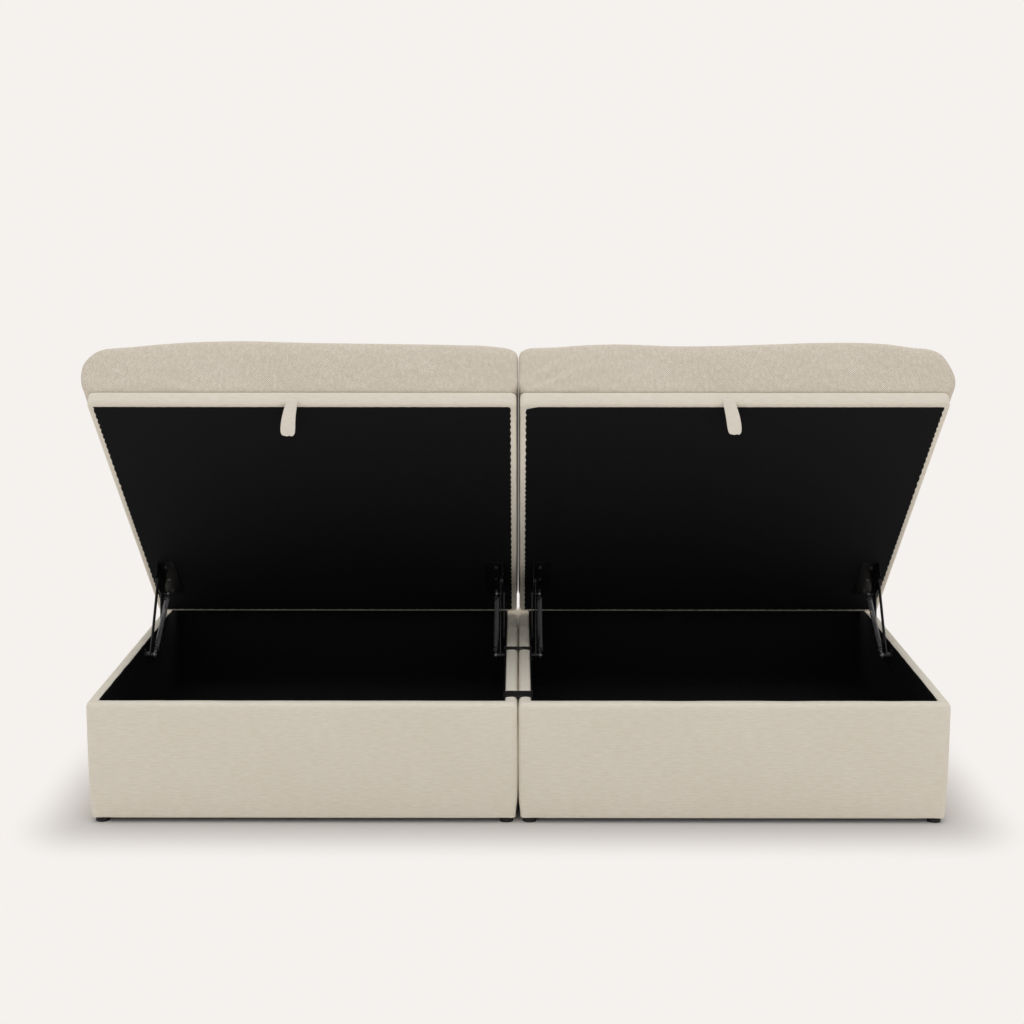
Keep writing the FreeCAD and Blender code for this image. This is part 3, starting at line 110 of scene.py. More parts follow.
def new_piece(name, points, faces, material, place=None):
    """A mesh object with weave coordinates in metres, drawn in its own place and then moved."""
    mesh = bpy.data.meshes.new(name)
    mesh.from_pydata([tuple(p) for p in points], [], faces)
    mesh.update()
    weave_coordinates(mesh)
    if place is not None:
        mesh.transform(place)
    piece = bpy.data.objects.new(name, mesh)
    bpy.context.collection.objects.link(piece)
    mesh.materials.append(material)
    mesh.shade_smooth()
    return piece


def weave_coordinates(mesh):
    """A UV map in metres, laid flat on each face along its two longest axes."""
    layer = mesh.uv_layers.new(name="weave") if not mesh.uv_layers else mesh.uv_layers[0]
    count = len(mesh.loops)
    corner = np.empty(count, dtype=np.int32)
    mesh.loops.foreach_get("vertex_index", corner)
    points = np.empty(len(mesh.vertices) * 3)
    mesh.vertices.foreach_get("co", points)
    points = points.reshape(-1, 3)[corner]
    normals = np.empty(len(mesh.polygons) * 3)
    mesh.polygons.foreach_get("normal", normals)
    sizes = np.empty(len(mesh.polygons), dtype=np.int32)
    mesh.polygons.foreach_get("loop_total", sizes)
    facing = np.abs(np.repeat(normals.reshape(-1, 3), sizes, axis=0)).argmax(axis=1)
    across = np.where(facing == 0, points[:, 1], points[:, 0])
    along = np.where(facing == 2, points[:, 1], points[:, 2])
    layer.data.foreach_set("uv", np.column_stack([across, along]).ravel())


def outline(x0, x1, y0, y1, radius, across, along):
    """Points of a rounded rectangle and their outward directions, in order from the front side.

    The point counts across and along are given, so that outlines of any size match one another.
    """
    points = []
    normals = []
    centres = (
        ((x0 + radius, y0), (x1 - radius, y0), (x1 - radius, y0 + radius), -90, across),
        ((x1, y0 + radius), (x1, y1 - radius), (x1 - radius, y1 - radius), 0, along),
        ((x1 - radius, y1), (x0 + radius, y1), (x0 + radius, y1 - radius), 90, across),
        ((x0, y1 - radius), (x0, y0 + radius), (x0 + radius, y0 + radius), 180, along),
    )
    for begin, end, centre, angle, count in centres:
        for i in range(count):
            t = i / count
            points.append((begin[0] + (end[0] - begin[0]) * t, begin[1] + (end[1] - begin[1]) * t))
            normals.append((math.cos(math.radians(angle)), math.sin(math.radians(angle))))
        for i in range(CORNER_POINTS):
            turn = math.radians(angle + 90 * i / CORNER_POINTS)
            points.append((centre[0] + radius * math.cos(turn), centre[1] + radius * math.sin(turn)))
            normals.append((math.cos(turn), math.sin(turn)))
    return np.array(points), np.array(normals)


def ring_faces(rings, count, fill_last=False):
    """Faces between neighbouring rings of points, and one over the last ring where asked."""
    faces = []
    for r in range(rings - 1):
        for i in range(count):
            j = (i + 1) % count
            faces.append((r * count + i, r * count + j, (r + 1) * count + j, (r + 1) * count + i))
    if fill_last:
        faces.append(tuple((rings - 1) * count + i for i in range(count)))
    return faces


def swept_rings(half_x, y0, y1, radius, profile, step, least_radius=3 * MM):
    """Rings of points for a profile of (inset, height) swept round a rounded rectangle."""
    across = round(2 * half_x / step)
    along = round((y1 - y0) / step)
    rings = []
    for inset, height in profile:
        points, outwards = outline(
            -half_x + inset,
            half_x - inset,
            y0 + inset,
            y1 - inset,
            max(radius - inset, least_radius),
            across,
            along,
        )
        rings.append(np.column_stack([points, np.full(len(points), height)]))
    return rings, outwards


def add_node(tree, kind, inputs=None, **settings):
    """Add a node with its settings. Each input listed is given a value, or a link from another socket."""
    made = tree.nodes.new(kind)
    for key, value in settings.items():
        setattr(made, key, value)
    for key, value in (inputs or {}).items():
        if isinstance(value, bpy.types.NodeSocket):
            tree.links.new(value, made.inputs[key])
        else:
            made.inputs[key].default_value = value
    return made


def start_material(name):
    """A material with an empty tree, its output and a Principled shader."""
    material = bpy.data.materials.new(name)
    material.use_nodes = True
    tree = material.node_tree
    tree.nodes.clear()
    shader = add_node(tree, "ShaderNodeBsdfPrincipled")
    add_node(tree, "ShaderNodeOutputMaterial", {"Surface": shader.outputs["BSDF"]})
    return material, tree, shader


def scaled_uv(tree, across, along):
    """Weave coordinates counted in cells of the given sizes in millimetres."""
    uv = add_node(tree, "ShaderNodeUVMap", uv_map="weave").outputs["UV"]
    cells = (1000 / across, 1000 / along, 1000 / across)
    return add_node(tree, "ShaderNodeVectorMath", {0: uv, 1: cells}, operation="MULTIPLY").outputs["Vector"]


# How far slubs bend and threads wander, in cells, how much the clouds count, and the tones between which
# the cloth goes from its dark colour to its light one.
SLUB_BEND = (0.4, 1.5, 0.0)
THREAD_WANDER = 1.6
CLOUD_SHARE = 0.22
TONE_LOW = 0.3
TONE_HIGH = 0.72


def woven_cloth(name, light, dark, slub_length, slub_pitch, weave_pitch, weave_share, bump_mm):
    """A woven upholstery cloth: crossing threads, thicker slubs along one way and faint cloudy tone.

    Sizes are in millimetres. The threads are finer than a pixel, so the weave is drawn as coarse as it
    needs to show.
    """
    material, tree, shader = start_material(name)
    # Slubs are long thin cells of noise, bent by a slower one so that they don't run quite straight.
    slow = scaled_uv(tree, slub_length * 1.4, slub_length * 1.4)
    bend = add_node(
        tree, "ShaderNodeTexNoise", {"Vector": slow, "Scale": 1.0, "Detail": 1.0}
    ).outputs["Color"]
    drift = add_node(tree, "ShaderNodeVectorMath", {0: bend, 1: SLUB_BEND}, operation="MULTIPLY")
    long_cells = scaled_uv(tree, slub_length, slub_pitch)
    bent = add_node(
        tree, "ShaderNodeVectorMath", {0: long_cells, 1: drift.outputs["Vector"]}, operation="ADD"
    ).outputs["Vector"]
    slubs = add_node(
        tree, "ShaderNodeTexNoise", {"Vector": bent, "Scale": 1.0, "Detail": 2.5, "Roughness": 0.55}
    ).outputs["Fac"]
    # The cloth's tone changes faintly over a hand's breadth.
    broad = scaled_uv(tree, 230, 150)
    clouds = add_node(
        tree, "ShaderNodeTexNoise", {"Vector": broad, "Scale": 1.0, "Detail": 2.0}
    ).outputs["Fac"]
    # The weave is two sets of threads that cross at the pitch and wander a little.
    threads = add_node(tree, "ShaderNodeSeparateXYZ", {0: scaled_uv(tree, weave_pitch, weave_pitch)})
    loose = scaled_uv(tree, weave_pitch * 5, weave_pitch * 5)
    wander = add_node(
        tree, "ShaderNodeTexNoise", {"Vector": loose, "Scale": 1.0, "Detail": 1.0}
    ).outputs["Fac"]
    crests = []
    for axis in ("X", "Y"):
        terms = {0: wander, 1: THREAD_WANDER, 2: threads.outputs[axis]}
        moved = add_node(tree, "ShaderNodeMath", terms, operation="MULTIPLY_ADD").outputs[0]
        turn = add_node(tree, "ShaderNodeMath", {0: moved, 1: 2 * math.pi}, operation="MULTIPLY").outputs[0]
        crests.append(add_node(tree, "ShaderNodeMath", {0: turn}, operation="SINE").outputs[0])
    weave = add_node(tree, "ShaderNodeMath", {0: crests[0], 1: crests[1]}, operation="MULTIPLY").outputs[0]
    raised = add_node(
        tree, "ShaderNodeMath", {0: weave, 1: weave_share * 0.5}, operation="MULTIPLY"
    ).outputs[0]
    height = add_node(
        tree, "ShaderNodeMath", {0: slubs, 1: 1 - weave_share, 2: raised}, operation="MULTIPLY_ADD"
    ).outputs[0]
    tone = add_node(
        tree, "ShaderNodeMath", {0: clouds, 1: CLOUD_SHARE, 2: height}, operation="MULTIPLY_ADD"
    ).outputs[0]
    share = add_node(tree, "ShaderNodeMapRange", {0: tone, 1: TONE_LOW, 2: TONE_HIGH}).outputs[0]
    colour = add_node(
        tree, "ShaderNodeMix", {0: share, 6: linear(dark), 7: linear(light)}, data_type="RGBA"
    )
    bump = add_node(tree, "ShaderNodeBump", {"Strength": 1.0, "Distance": bump_mm * MM, "Height": height})
    tree.links.new(colour.outputs[2], shader.inputs["Base Color"])
    tree.links.new(bump.outputs["Normal"], shader.inputs["Normal"])
    shader.inputs["Roughness"].default_value = 0.92
    shader.inputs["Specular IOR Level"].default_value = 0.2
    shader.inputs["Sheen Weight"].default_value = 0.06
    shader.inputs["Sheen Roughness"].default_value = 0.5
    return material


def spunbond(name, light, dark):
    """Black spun-bonded lining: a dull felted sheet with faint fibres 6 mm long."""
    material, tree, shader = start_material(name)
    cells = scaled_uv(tree, 6, 6)
    fibres = add_node(
        tree, "ShaderNodeTexNoise", {"Vector": cells, "Scale": 1.0, "Detail": 4.0, "Roughness": 0.7}
    ).outputs["Fac"]
    colour = add_node(
        tree, "ShaderNodeMix", {0: fibres, 6: linear(dark), 7: linear(light)}, data_type="RGBA"
    )
    bump = add_node(tree, "ShaderNodeBump", {"Strength": 0.6, "Distance": 0.3 * MM, "Height": fibres})
    tree.links.new(colour.outputs[2], shader.inputs["Base Color"])
    tree.links.new(bump.outputs["Normal"], shader.inputs["Normal"])
    shader.inputs["Roughness"].default_value = 0.95
    shader.inputs["Specular IOR Level"].default_value = 0.15
    return material


def speckled(name, light, dark, grain, roughness, metallic=0.0, bump_mm=0.05, stretch=1.0):
    """A hard surface with a grain of the given size in millimetres, drawn out along X where stretched."""
    material, tree, shader = start_material(name)
    position = add_node(tree, "ShaderNodeTexCoord").outputs["Object"]
    cells = (1000 / grain / stretch, 1000 / grain, 1000 / grain)
    counted = add_node(
        tree, "ShaderNodeVectorMath", {0: position, 1: cells}, operation="MULTIPLY"
    ).outputs["Vector"]
    grains = add_node(
        tree, "ShaderNodeTexNoise", {"Vector": counted, "Scale": 1.0, "Detail": 3.0}
    ).outputs["Fac"]
    colour = add_node(
        tree, "ShaderNodeMix", {0: grains, 6: linear(dark), 7: linear(light)}, data_type="RGBA"
    )
    worn = add_node(tree, "ShaderNodeMapRange", {0: grains, 3: roughness - 0.08, 4: roughness + 0.08})
    bump = add_node(tree, "ShaderNodeBump", {"Strength": 0.5, "Distance": bump_mm * MM, "Height": grains})
    tree.links.new(colour.outputs[2], shader.inputs["Base Color"])
    tree.links.new(worn.outputs[0], shader.inputs["Roughness"])
    tree.links.new(bump.outputs["Normal"], shader.inputs["Normal"])
    shader.inputs["Metallic"].default_value = metallic
    return material


# Linen blend with slubs 22 mm long every 3 mm: cream, matt, with fine broken lines across each panel.
SLUB_LINEN = woven_cloth("slub_linen", "#ece5d8", "#e0d8c7", 22, 3.2, 3.2, 0.25, 1.3)
# The same cloth in the tabs, in a lighter copy of its colours: painted highlight for the raised threads,
# which catch more light.
TAB_LINEN_PAINTED_LIGHTER = woven_cloth("tab_linen_painted_lighter", "#f1eadf", "#e5decf", 22, 3.2, 3.2, 0.25, 1.3)
# Basket weave of doubled threads: a coarse speckle, a little darker and warmer than the linen.
BASKET_WEAVE = woven_cloth("basket_weave", "#f6eee2", "#d0c5b3", 7, 13, 5.2, 0.5, 1.9)
# Spun-bonded polypropylene: nearly black and dull, so that the box reads as a dark hollow.
LINING_CLOTH = spunbond("black_spunbond", "#16161a", "#08080a")
# The same under the lids, in a lighter, greyer copy of its colours: painted light, where it faces the
# light.
UNDERLINING_PAINTED_LIGHTER = spunbond("black_lid_spunbond_painted_lighter", "#1b1b1e", "#0d0d0f")
# Enamelled steel plate: black with soft narrow glints along its edges.
BLACK_ENAMEL = speckled("black_enamel", "#1c1c1e", "#101011", 1.5, 0.38, bump_mm=0.02)
# Oiled spring wire: grey, with a glint on every coil.
SPRING_WIRE = speckled("oiled_spring_wire", "#8c8c90", "#58585d", 2.0, 0.34, metallic=0.75, bump_mm=0.02)
# Zinc-plated steel: small bright heads.
ZINC = speckled("zinc_plate", "#b9b9b4", "#8d8d88", 1.2, 0.32, metallic=1.0, bump_mm=0.02)
# Pressed chipboard: flakes in two browns. Hidden inside the walls.
CHIPBOARD = speckled("chipboard", "#c9a877", "#9a7a4e", 4.0, 0.8, bump_mm=0.2)
# Planed softwood: straw-coloured, with its grain drawn out along the rail.
SOFTWOOD = speckled("softwood", "#d8b886", "#b58f5c", 3.0, 0.7, bump_mm=0.1, stretch=22)
# Moulded polypropylene of the glide feet: black with a dull sheen.
GLIDE_PLASTIC = speckled("moulded_plastic", "#1b1b1b", "#101010", 0.8, 0.5)
# Cut polyurethane foam: pale yellow and open-pored.
FOAM = speckled("foam", "#e6dcc0", "#cabf9f", 1.5, 0.95, bump_mm=0.3)

SLOT_MATERIALS = {
    "base_fabric": SLUB_LINEN,
    "seat_fabric": BASKET_WEAVE,
    "black_lining": LINING_CLOTH,
    "foam": FOAM,
    "frame_board": CHIPBOARD,
    "frame_timber": SOFTWOOD,
    "foot_plastic": GLIDE_PLASTIC,
    "black_steel": BLACK_ENAMEL,
    "spring_steel": SPRING_WIRE,
    "zinc_screws": ZINC,
}


def dress_frame():
    """Give each CAD node the finish of its material slot."""
    for entry in frame["record"]["subparts"]:
        mesh = frame["nodes"][entry["node"]].data
        mesh.materials.clear()
        mesh.materials.append(SLOT_MATERIALS[entry["material_slot"]])
        if not mesh.uv_layers:
            weave_coordinates(mesh)
        mesh.uv_layers[0].name = "weave"


# Outline of the base's cloth from its hem round the outside and over the rim: inset and height in mm.
BASE_PROFILE = (
    (5.4, 12.4), (4.4, 12.0), (3.7, 12.8), (3.2, 16), (2.6, 24), (1.9, 34), (1.1, 46), (0.5, 60), (0.1, 80),
    (-0.3, 105), (-0.5, 130), (-0.6, 160), (-0.5, 190), (-0.3, 215), (-0.1, 235), (0.0, 250), (0.1, 259),
    (0.5, 264.5), (1.6, 268.6), (3.6, 271.6), (6.4, 273.2), (9.6, 273.7), (14, 273.7), (19, 273.4),
    (22.6, 272.9), (24.8, 272.0), (26.0, 270.3), (26.7, 267.8), (27.0, 264), (27.0, 256),
)


# How far the walls' cloth swells and sinks, how far the wall that faces the other module comes out
# toward it, and how uneven the rim's top is.
WALL_PULL = 0.9 * MM
NEIGHBOUR_PULL = 1.5 * MM
RIM_UNEVEN = 0.7 * MM
# Depth of the pleats at the corners of the hem, and how far the lining's lapped edge lies away from the
# other module.
PLEAT_DEPTH = 1.2 * MM
LINING_SHIFT = 3.8 * MM


def make_base_cover(hand):
    """The upholstered walls: tucked hem, softly filled faces, rolled rim and the fold into the box."""
    side = SIDES[hand]
    profile = [(inset * MM, height * MM) for inset, height in BASE_PROFILE]
    rings, outwards = swept_rings(HALF_WIDTH, -HALF_DEPTH, HALF_DEPTH, CORNER, profile, 13 * MM)
    points = np.vstack(rings)
    outwards = np.tile(outwards, (len(rings), 1))
    height = points[:, 2]
    body = smooth(0.02, 0.06, height) * (1 - smooth(0.258, 0.271, height))
    pull = waves(points, 0.17, side + 3) * 0.75 + waves(points, 0.05, side + 8) * 0.25
    outer_face = np.abs(points[:, 0]) > HALF_WIDTH - 22 * MM
    points[:, :2] += outwards * (pull * body * WALL_PULL)[:, None]
    facing_neighbour = np.clip(-side * outwards[:, 0], 0, 1) * outer_face
    points[:, 0] -= side * facing_neighbour * body * NEIGHBOUR_PULL
    points[:, 2] += waves(points, 0.09, side + 21) * smooth(0.262, 0.273, height) * RIM_UNEVEN
    for corner_x in (-1, 1):
        for corner_y in (-1, 1):
            pucker_hem(points, outwards, corner_x, corner_y)
    name = f"{hand}_base_upholstery"
    faces = ring_faces(len(rings), len(points) // len(rings))
    piece = new_piece(name, points, faces, SLUB_LINEN, base_matrix(side))
    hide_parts(f"{hand}_base_cover")
    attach(piece, "bases")


def pucker_hem(points, outwards, corner_x, corner_y):
    """Gather the hem at one bottom corner, where the cloth is folded under: three short soft pleats."""
    across = HALF_WIDTH - corner_x * points[:, 0]
    along = HALF_DEPTH - corner_y * points[:, 1]
    way = across - along
    near = np.exp(-((across + along) / (70 * MM)) ** 2)
    low = 1 - smooth(0.014, 0.075, points[:, 2])
    pleats = np.cos(way / (11 * MM)) * 0.9 - 0.5
    points[:, :2] += outwards * (pleats * near * low * PLEAT_DEPTH)[:, None]


def make_lining(hand):
    """The black lining: lapped over the inner edge of the rim, with soft bottom corners and slack walls."""
    side = SIDES[hand]
    levels = [(24.6, 273.6), (25.6, 273.2), (26.9, 271.9), (27.8, 269.6), (28.4, 265)]
    levels += [(28.7, z) for z in range(250, 84, -15)]
    levels += [(29.2, 76), (31, 69), (35, 65.4), (42, 64.4)]
    levels += [(inset, 64.3) for inset in (56, 80, 110, 145, 190, 235, 285, 335, 385, 430)]
    profile = [(inset * MM, height * MM) for inset, height in levels]
    rings, outwards = swept_rings(HALF_WIDTH, -HALF_DEPTH, HALF_DEPTH, CORNER, profile, 13 * MM, 4 * MM)
    points = np.vstack(rings)
    outwards = np.tile(outwards, (len(rings), 1))
    seed = side + 40
    height = points[:, 2]
    edge = smooth(0.268, 0.2736, height)
    points[:, :2] += outwards * ((waves(points, 0.05, seed) * 1.1 - 0.3) * edge * MM)[:, None]
    toward_neighbour = smooth(0.5, 0.9, -side * outwards[:, 0])
    points[:, 0] += side * toward_neighbour * edge * LINING_SHIFT
    points[:, 2] += waves(points, 0.09, side + 21) * smooth(0.262, 0.273, height) * RIM_UNEVEN
    wall = (1 - smooth(0.255, 0.268, height)) * smooth(0.066, 0.09, height)
    slack = np.abs(waves(points, 0.14, seed + 1)) * 0.9 + np.abs(waves(points, 0.045, seed + 4)) * 0.4
    points[:, :2] -= outwards * (slack * wall * MM)[:, None]
    floor = 1 - smooth(0.064, 0.072, height)
    points[:, 2] += np.abs(waves(points, 0.2, seed + 2)) * floor * 1.6 * MM
    name = f"{hand}_lining_cloth"
    faces = ring_faces(len(rings), len(points) // len(rings), fill_last=True)
    piece = new_piece(name, points, faces, LINING_CLOTH, base_matrix(side))
    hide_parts(f"{hand}_storage_lining")
    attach(piece, "bases")


def make_lid_cover(hand):
    """The cloth wrapped round the lid's edge, turned under in a strip all round."""
    side = SIDES[hand]
    profile = [
        (9, 29.2), (4, 30.2), (1.4, 29.8), (0.3, 28.6), (0, 26.5), (-0.3, 20), (-0.4, 14), (-0.2, 8),
        (0.3, 4.6), (1.3, 2.2), (3.0, 0.7), (5.4, 0.1), (9, -0.2), (12.5, -0.2), (16, 0.2), (24, 1.0),
    ]
    profile = [(inset * MM, height * MM) for inset, height in profile]
    rings, outwards = swept_rings(HALF_WIDTH, -LID_DEPTH, 0, 15 * MM, profile, 12 * MM)
    points = np.vstack(rings)
    count = len(outwards)
    ripple = waves(points, 0.045, side + 60) * 0.5 + waves(points, 0.15, side + 61) * 0.5
    points[:, :2] += np.tile(outwards, (len(rings), 1)) * (ripple * 0.6 * MM)[:, None]
    under = 1 - smooth(0, 0.004, points[:, 2])
    points[:, 2] += waves(points, 0.02, side + 62) * under * 0.12 * MM
    name = f"{hand}_lid_wrap"
    piece = new_piece(name, points, ring_faces(len(rings), count), SLUB_LINEN, lid_matrix(side))
    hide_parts(f"{hand}_lid_border_cover")
    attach(piece, f"{hand}_lid")


def scallops(length_along, seed):
    """How far the stapled edge of the underlining is drawn in at each point of its way round."""
    way = length_along / (23 * MM) + 0.5 * np.sin(length_along / (61 * MM) + seed)
    return np.abs(np.sin(way * math.pi)) ** 0.7


def trim_corner(points, side):
    """Cut the cloth's inner front corner on a slant, long on the right lid and short on the left."""
    reach_x, reach_y = (27 * MM, 10 * MM) if side > 0 else (7 * MM, 4 * MM)
    from_side = HALF_WIDTH - STRIP + side * points[:, 0]
    from_front = LID_DEPTH - STRIP + points[:, 1]
    least = reach_y * np.clip(1 - from_side / reach_x, 0, 1)
    points[:, 1] += np.maximum(0, least - from_front)


def make_underlining(hand):
    """The black cloth under the lid, stapled at intervals so that its edge is drawn in and scalloped."""
    side = SIDES[hand]
    insets = (0, 2.2, 6, 12, 22, 40, 70, 110, 160, 220, 290, 360, 420)
    profile = [((inset + 12) * MM, -0.5 * MM) for inset in insets]
    rings, outwards = swept_rings(HALF_WIDTH, -LID_DEPTH, 0, 14 * MM, profile, 5 * MM, 2 * MM)
    count = len(outwards)
    steps = np.linalg.norm(np.diff(rings[0][:, :2], axis=0, append=rings[0][:1, :2]), axis=1)
    way = np.concatenate([[0], np.cumsum(steps)[:-1]])
    draw = scallops(way, side * 2.0)
    along_side = np.abs(outwards[:, 0])
    at_front = np.clip(-outwards[:, 1], 0, 1)
    depth = (2.8 * along_side + 2.0 * np.clip(outwards[:, 1], 0, 1) + 0.6 * at_front) * MM
    fade = [1, 0.85, 0.5, 0.2, 0.05] + [0] * (len(insets) - 5)
    for ring, share in zip(rings, fade):
        ring[:, :2] -= outwards * ((1 - draw) * depth * share)[:, None]
        ring[:, 2] -= draw * share * 0.15 * MM
    points = np.vstack(rings)
    trim_corner(points, side)
    away_from_side = smooth(0.03, 0.1, HALF_WIDTH - np.abs(points[:, 0]))
    points[:, 2] += (waves(points, 0.11, side + 70) * 0.5 - 0.5) * away_from_side * MM
    name = f"{hand}_underlining_cloth"
    faces = ring_faces(len(rings), count, fill_last=True)
    # The underlining wears the lining's lighter copy of its colours, painted as light.
    piece = new_piece(name, points, faces, UNDERLINING_PAINTED_LIGHTER, lid_matrix(side))
    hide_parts(f"{hand}_lid_underlining")
    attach(piece, f"{hand}_lid")


# Outline of the cushion from its seam up the boxing and over the crown: inset and height in mm.
CUSHION_PROFILE = (
    (5, 0), (1.5, 7), (-1.5, 20), (-3, 42), (-3.5, 68), (-3, 92), (-1.5, 109), (1.5, 121), (6, 130),
    (12.5, 137), (21, 142), (32, 145.5), (50, 149), (80, 152.5), (120, 155.5), (170, 158), (240, 160),
    (320, 161.5), (400, 162), (440, 162.2),
)
# Height of the filled front edge along each cushion, as shares of the profile's 131 mm: distance from
# the outer side in mm, and share.
FRONT_CREST = {
    "left": (
        (0, 0.93), (15, 0.96), (37, 0.965), (80, 1.0), (145, 1.06), (199, 1.1), (253, 1.11), (318, 1.12),
        (470, 1.085), (643, 1.06), (795, 1.045), (860, 1.03), (903, 0.985), (925, 0.98), (945, 0.96),
    ),
    "right": (
        (0, 0.90), (20, 0.95), (40, 0.975), (62, 0.99), (83, 1.015), (116, 1.06), (159, 1.085),
        (202, 1.09), (289, 1.085), (376, 1.055), (462, 1.04), (592, 1.025), (722, 1.05), (787, 1.03),
        (852, 0.99), (895, 0.975), (925, 0.98), (945, 0.97),
    ),
}
# The same share further back, where the crown evens out.
CROWN_SHARE = 0.9
# How far the outer side swells over the lid's edge at heights above the seam, in mm.
OUTER_SWELL = {
    "left": ((0, 7), (10, 14), (25, 21), (50, 26), (80, 26), (95, 21), (110, 13), (130, 7)),
    "right": ((0, 8), (10, 14), (25, 20), (45, 23), (65, 20), (85, 14), (110, 8), (130, 5)),
}
# The cushions swell toward each other and meet, but for a hair's breadth, along a line that leans.
CONTACT_LEAN = 0.8 * MM
CONTACT_HEIGHT = 100 * MM
CONTACT_GAP = 0.6 * MM
INNER_SWELL = 9 * MM
# Corner radius in mm, points along each side, and the face size for the cloth simulation.
CUSHION_CORNER = 15
CUSHION_STEPS = 60
VOXEL = 11 * MM
# The simulation's pressure and length in frames, the most that a point moves, and the share of its
# sideways move that the foam inside lets through.
PRESSURE = 3.5
FRAMES = 20
SWELL_LIMIT = 14 * MM
SIDE_GIVE = 0.3


def make_cushion(hand):
    """The seat cushion: a stuffed, crowned form that swells over the lid's outer edge."""
    side = SIDES[hand]
    rings = []
    for inset, height in CUSHION_PROFILE:
        half = HALF_WIDTH - inset * MM
        radius = (CUSHION_CORNER + 0.35 * max(inset, 0)) * MM
        front, back = -LID_DEPTH + inset * MM, -inset * MM
        ring, _ = outline(-half, half, front, back, min(radius, half * 0.9), CUSHION_STEPS, CUSHION_STEPS)
        rings.append(np.column_stack([ring, np.full(len(ring), LID_THICKNESS + height * MM)]))
    count = len(rings[0])
    faces = ring_faces(len(rings), count, fill_last=True)
    faces.append(tuple(reversed(range(count))))
    name = f"{hand}_seat_cushion"
    piece = new_piece(name, np.vstack(rings), faces, BASKET_WEAVE)
    even_out(piece, VOXEL)
    stuff(piece)
    shape_cushion(piece, hand)
    weave_coordinates(piece.data)
    piece.data.transform(lid_matrix(side))
    finer = piece.modifiers.new("finer", "SUBSURF")
    finer.levels = 1
    finer.render_levels = 1
    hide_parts(f"{hand}_seat_cover", f"{hand}_seat_foam")
    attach(piece, f"{hand}_lid")


def apply_modifiers(piece):
    """Keep a piece's mesh as its modifiers leave it."""
    graph = bpy.context.evaluated_depsgraph_get()
    mesh = bpy.data.meshes.new_from_object(piece.evaluated_get(graph))
    old = piece.data
    piece.modifiers.clear()
    piece.data = mesh
    bpy.data.meshes.remove(old)


def even_out(piece, voxel):
    """Rebuild a piece from even small faces, as cloth needs."""
    remesh = piece.modifiers.new("even", "REMESH")
    remesh.mode = "VOXEL"
    remesh.voxel_size = voxel
    remesh.use_smooth_shade = True
    relax = piece.modifiers.new("relax", "SMOOTH")
    relax.factor = 0.5
    relax.iterations = 2
    apply_modifiers(piece)


def mesh_points(mesh):
    """The places of a mesh's vertices, one row each."""
    points = np.empty(len(mesh.vertices) * 3)
    mesh.vertices.foreach_get("co", points)
    return points.reshape(-1, 3)


def stuff(piece):
    """Fill a piece like a cushion: pressure swells the cloth while its seam stays on the deck."""
    start = mesh_points(piece.data)
    seam = piece.vertex_groups.new(name="seam")
    held = [i for i, p in enumerate(start) if p[2] < LID_THICKNESS + 7 * MM]
    seam.add(held, 1.0, "REPLACE")
    cloth = piece.modifiers.new("cloth", "CLOTH")
    settings = cloth.settings
    settings.quality = 4
    settings.mass = 0.4
    settings.use_pressure = True
    settings.uniform_pressure_force = PRESSURE
    settings.tension_stiffness = 18
    settings.compression_stiffness = 18
    settings.shear_stiffness = 8
    settings.bending_stiffness = 2.0
    settings.vertex_group_mass = "seam"
    settings.effector_weights.gravity = 0
    cloth.collision_settings.use_collision = False
    cloth.point_cache.frame_start = 1
    cloth.point_cache.frame_end = FRAMES
    scene = bpy.context.scene
    for step in range(1, FRAMES + 1):
        scene.frame_set(step)
    apply_modifiers(piece)
    scene.frame_set(1)
    shift = mesh_points(piece.data) - start
    length = np.linalg.norm(shift, axis=1, keepdims=True)
    shift *= np.minimum(1, SWELL_LIMIT / np.maximum(length, 1e-9))
    # The foam inside keeps the sides out and the top from sinking.
    shift[:, :2] *= SIDE_GIVE
    shift[:, 2] = np.maximum(shift[:, 2], 0)
    piece.data.vertices.foreach_set("co", (start + shift).ravel())
    piece.data.update()


def along_table(table, value):
    """The table's second column at the given values of its first, on straight lines between its rows."""
    steps, results = zip(*table)
    return np.interp(value, steps, results)


def shape_cushion(piece, hand):
    """Give the filled form its crest, its swollen outer side, its folds and its soft unevenness."""
    side = SIDES[hand]
    points = mesh_points(piece.data)
    height = points[:, 2] - LID_THICKNESS
    from_outer = HALF_WIDTH - side * points[:, 0]
    share = along_table(FRONT_CREST[hand], from_outer / MM)
    share += (CROWN_SHARE - share) * smooth(0.06, 0.3, points[:, 1] + LID_DEPTH)
    height = height * share
    swell = along_table(OUTER_SWELL[hand], height / MM) * MM
    points[:, 0] += side * swell * (1 - smooth(0.0, 0.11, from_outer))
    from_inner = HALF_WIDTH + side * points[:, 0]
    toward = -side * points[:, 0]
    toward += (1 - smooth(0.0, 0.05, from_inner)) * smooth(0.0, 0.03, height) * INNER_SWELL
    lean = side * (height / CONTACT_HEIGHT - 0.5) * CONTACT_LEAN
    contact = HALF_PITCH + LID_OUTWARD - lean - CONTACT_GAP
    points[:, 0] = -side * np.minimum(toward, contact)
    on_front = 1 - smooth(0.0, 0.03, points[:, 1] + LID_DEPTH)
    points[:, 1] -= front_folds(from_inner, height, hand) * on_front * MM
    soft = waves(points, 0.24, side + 80) * 2.6 + waves(points, 0.09, side + 84) * 0.9
    height = height + soft * MM * smooth(0.06, 0.14, height)
    dents = waves(points, 0.07, side + 90) * 0.8 * smooth(0.01, 0.03, height)
    points[:, 1] += dents * on_front * MM
    points[:, 2] = LID_THICKNESS + np.maximum(height, 0.2 * MM)
    piece.data.vertices.foreach_set("co", points.ravel())
    piece.data.update()


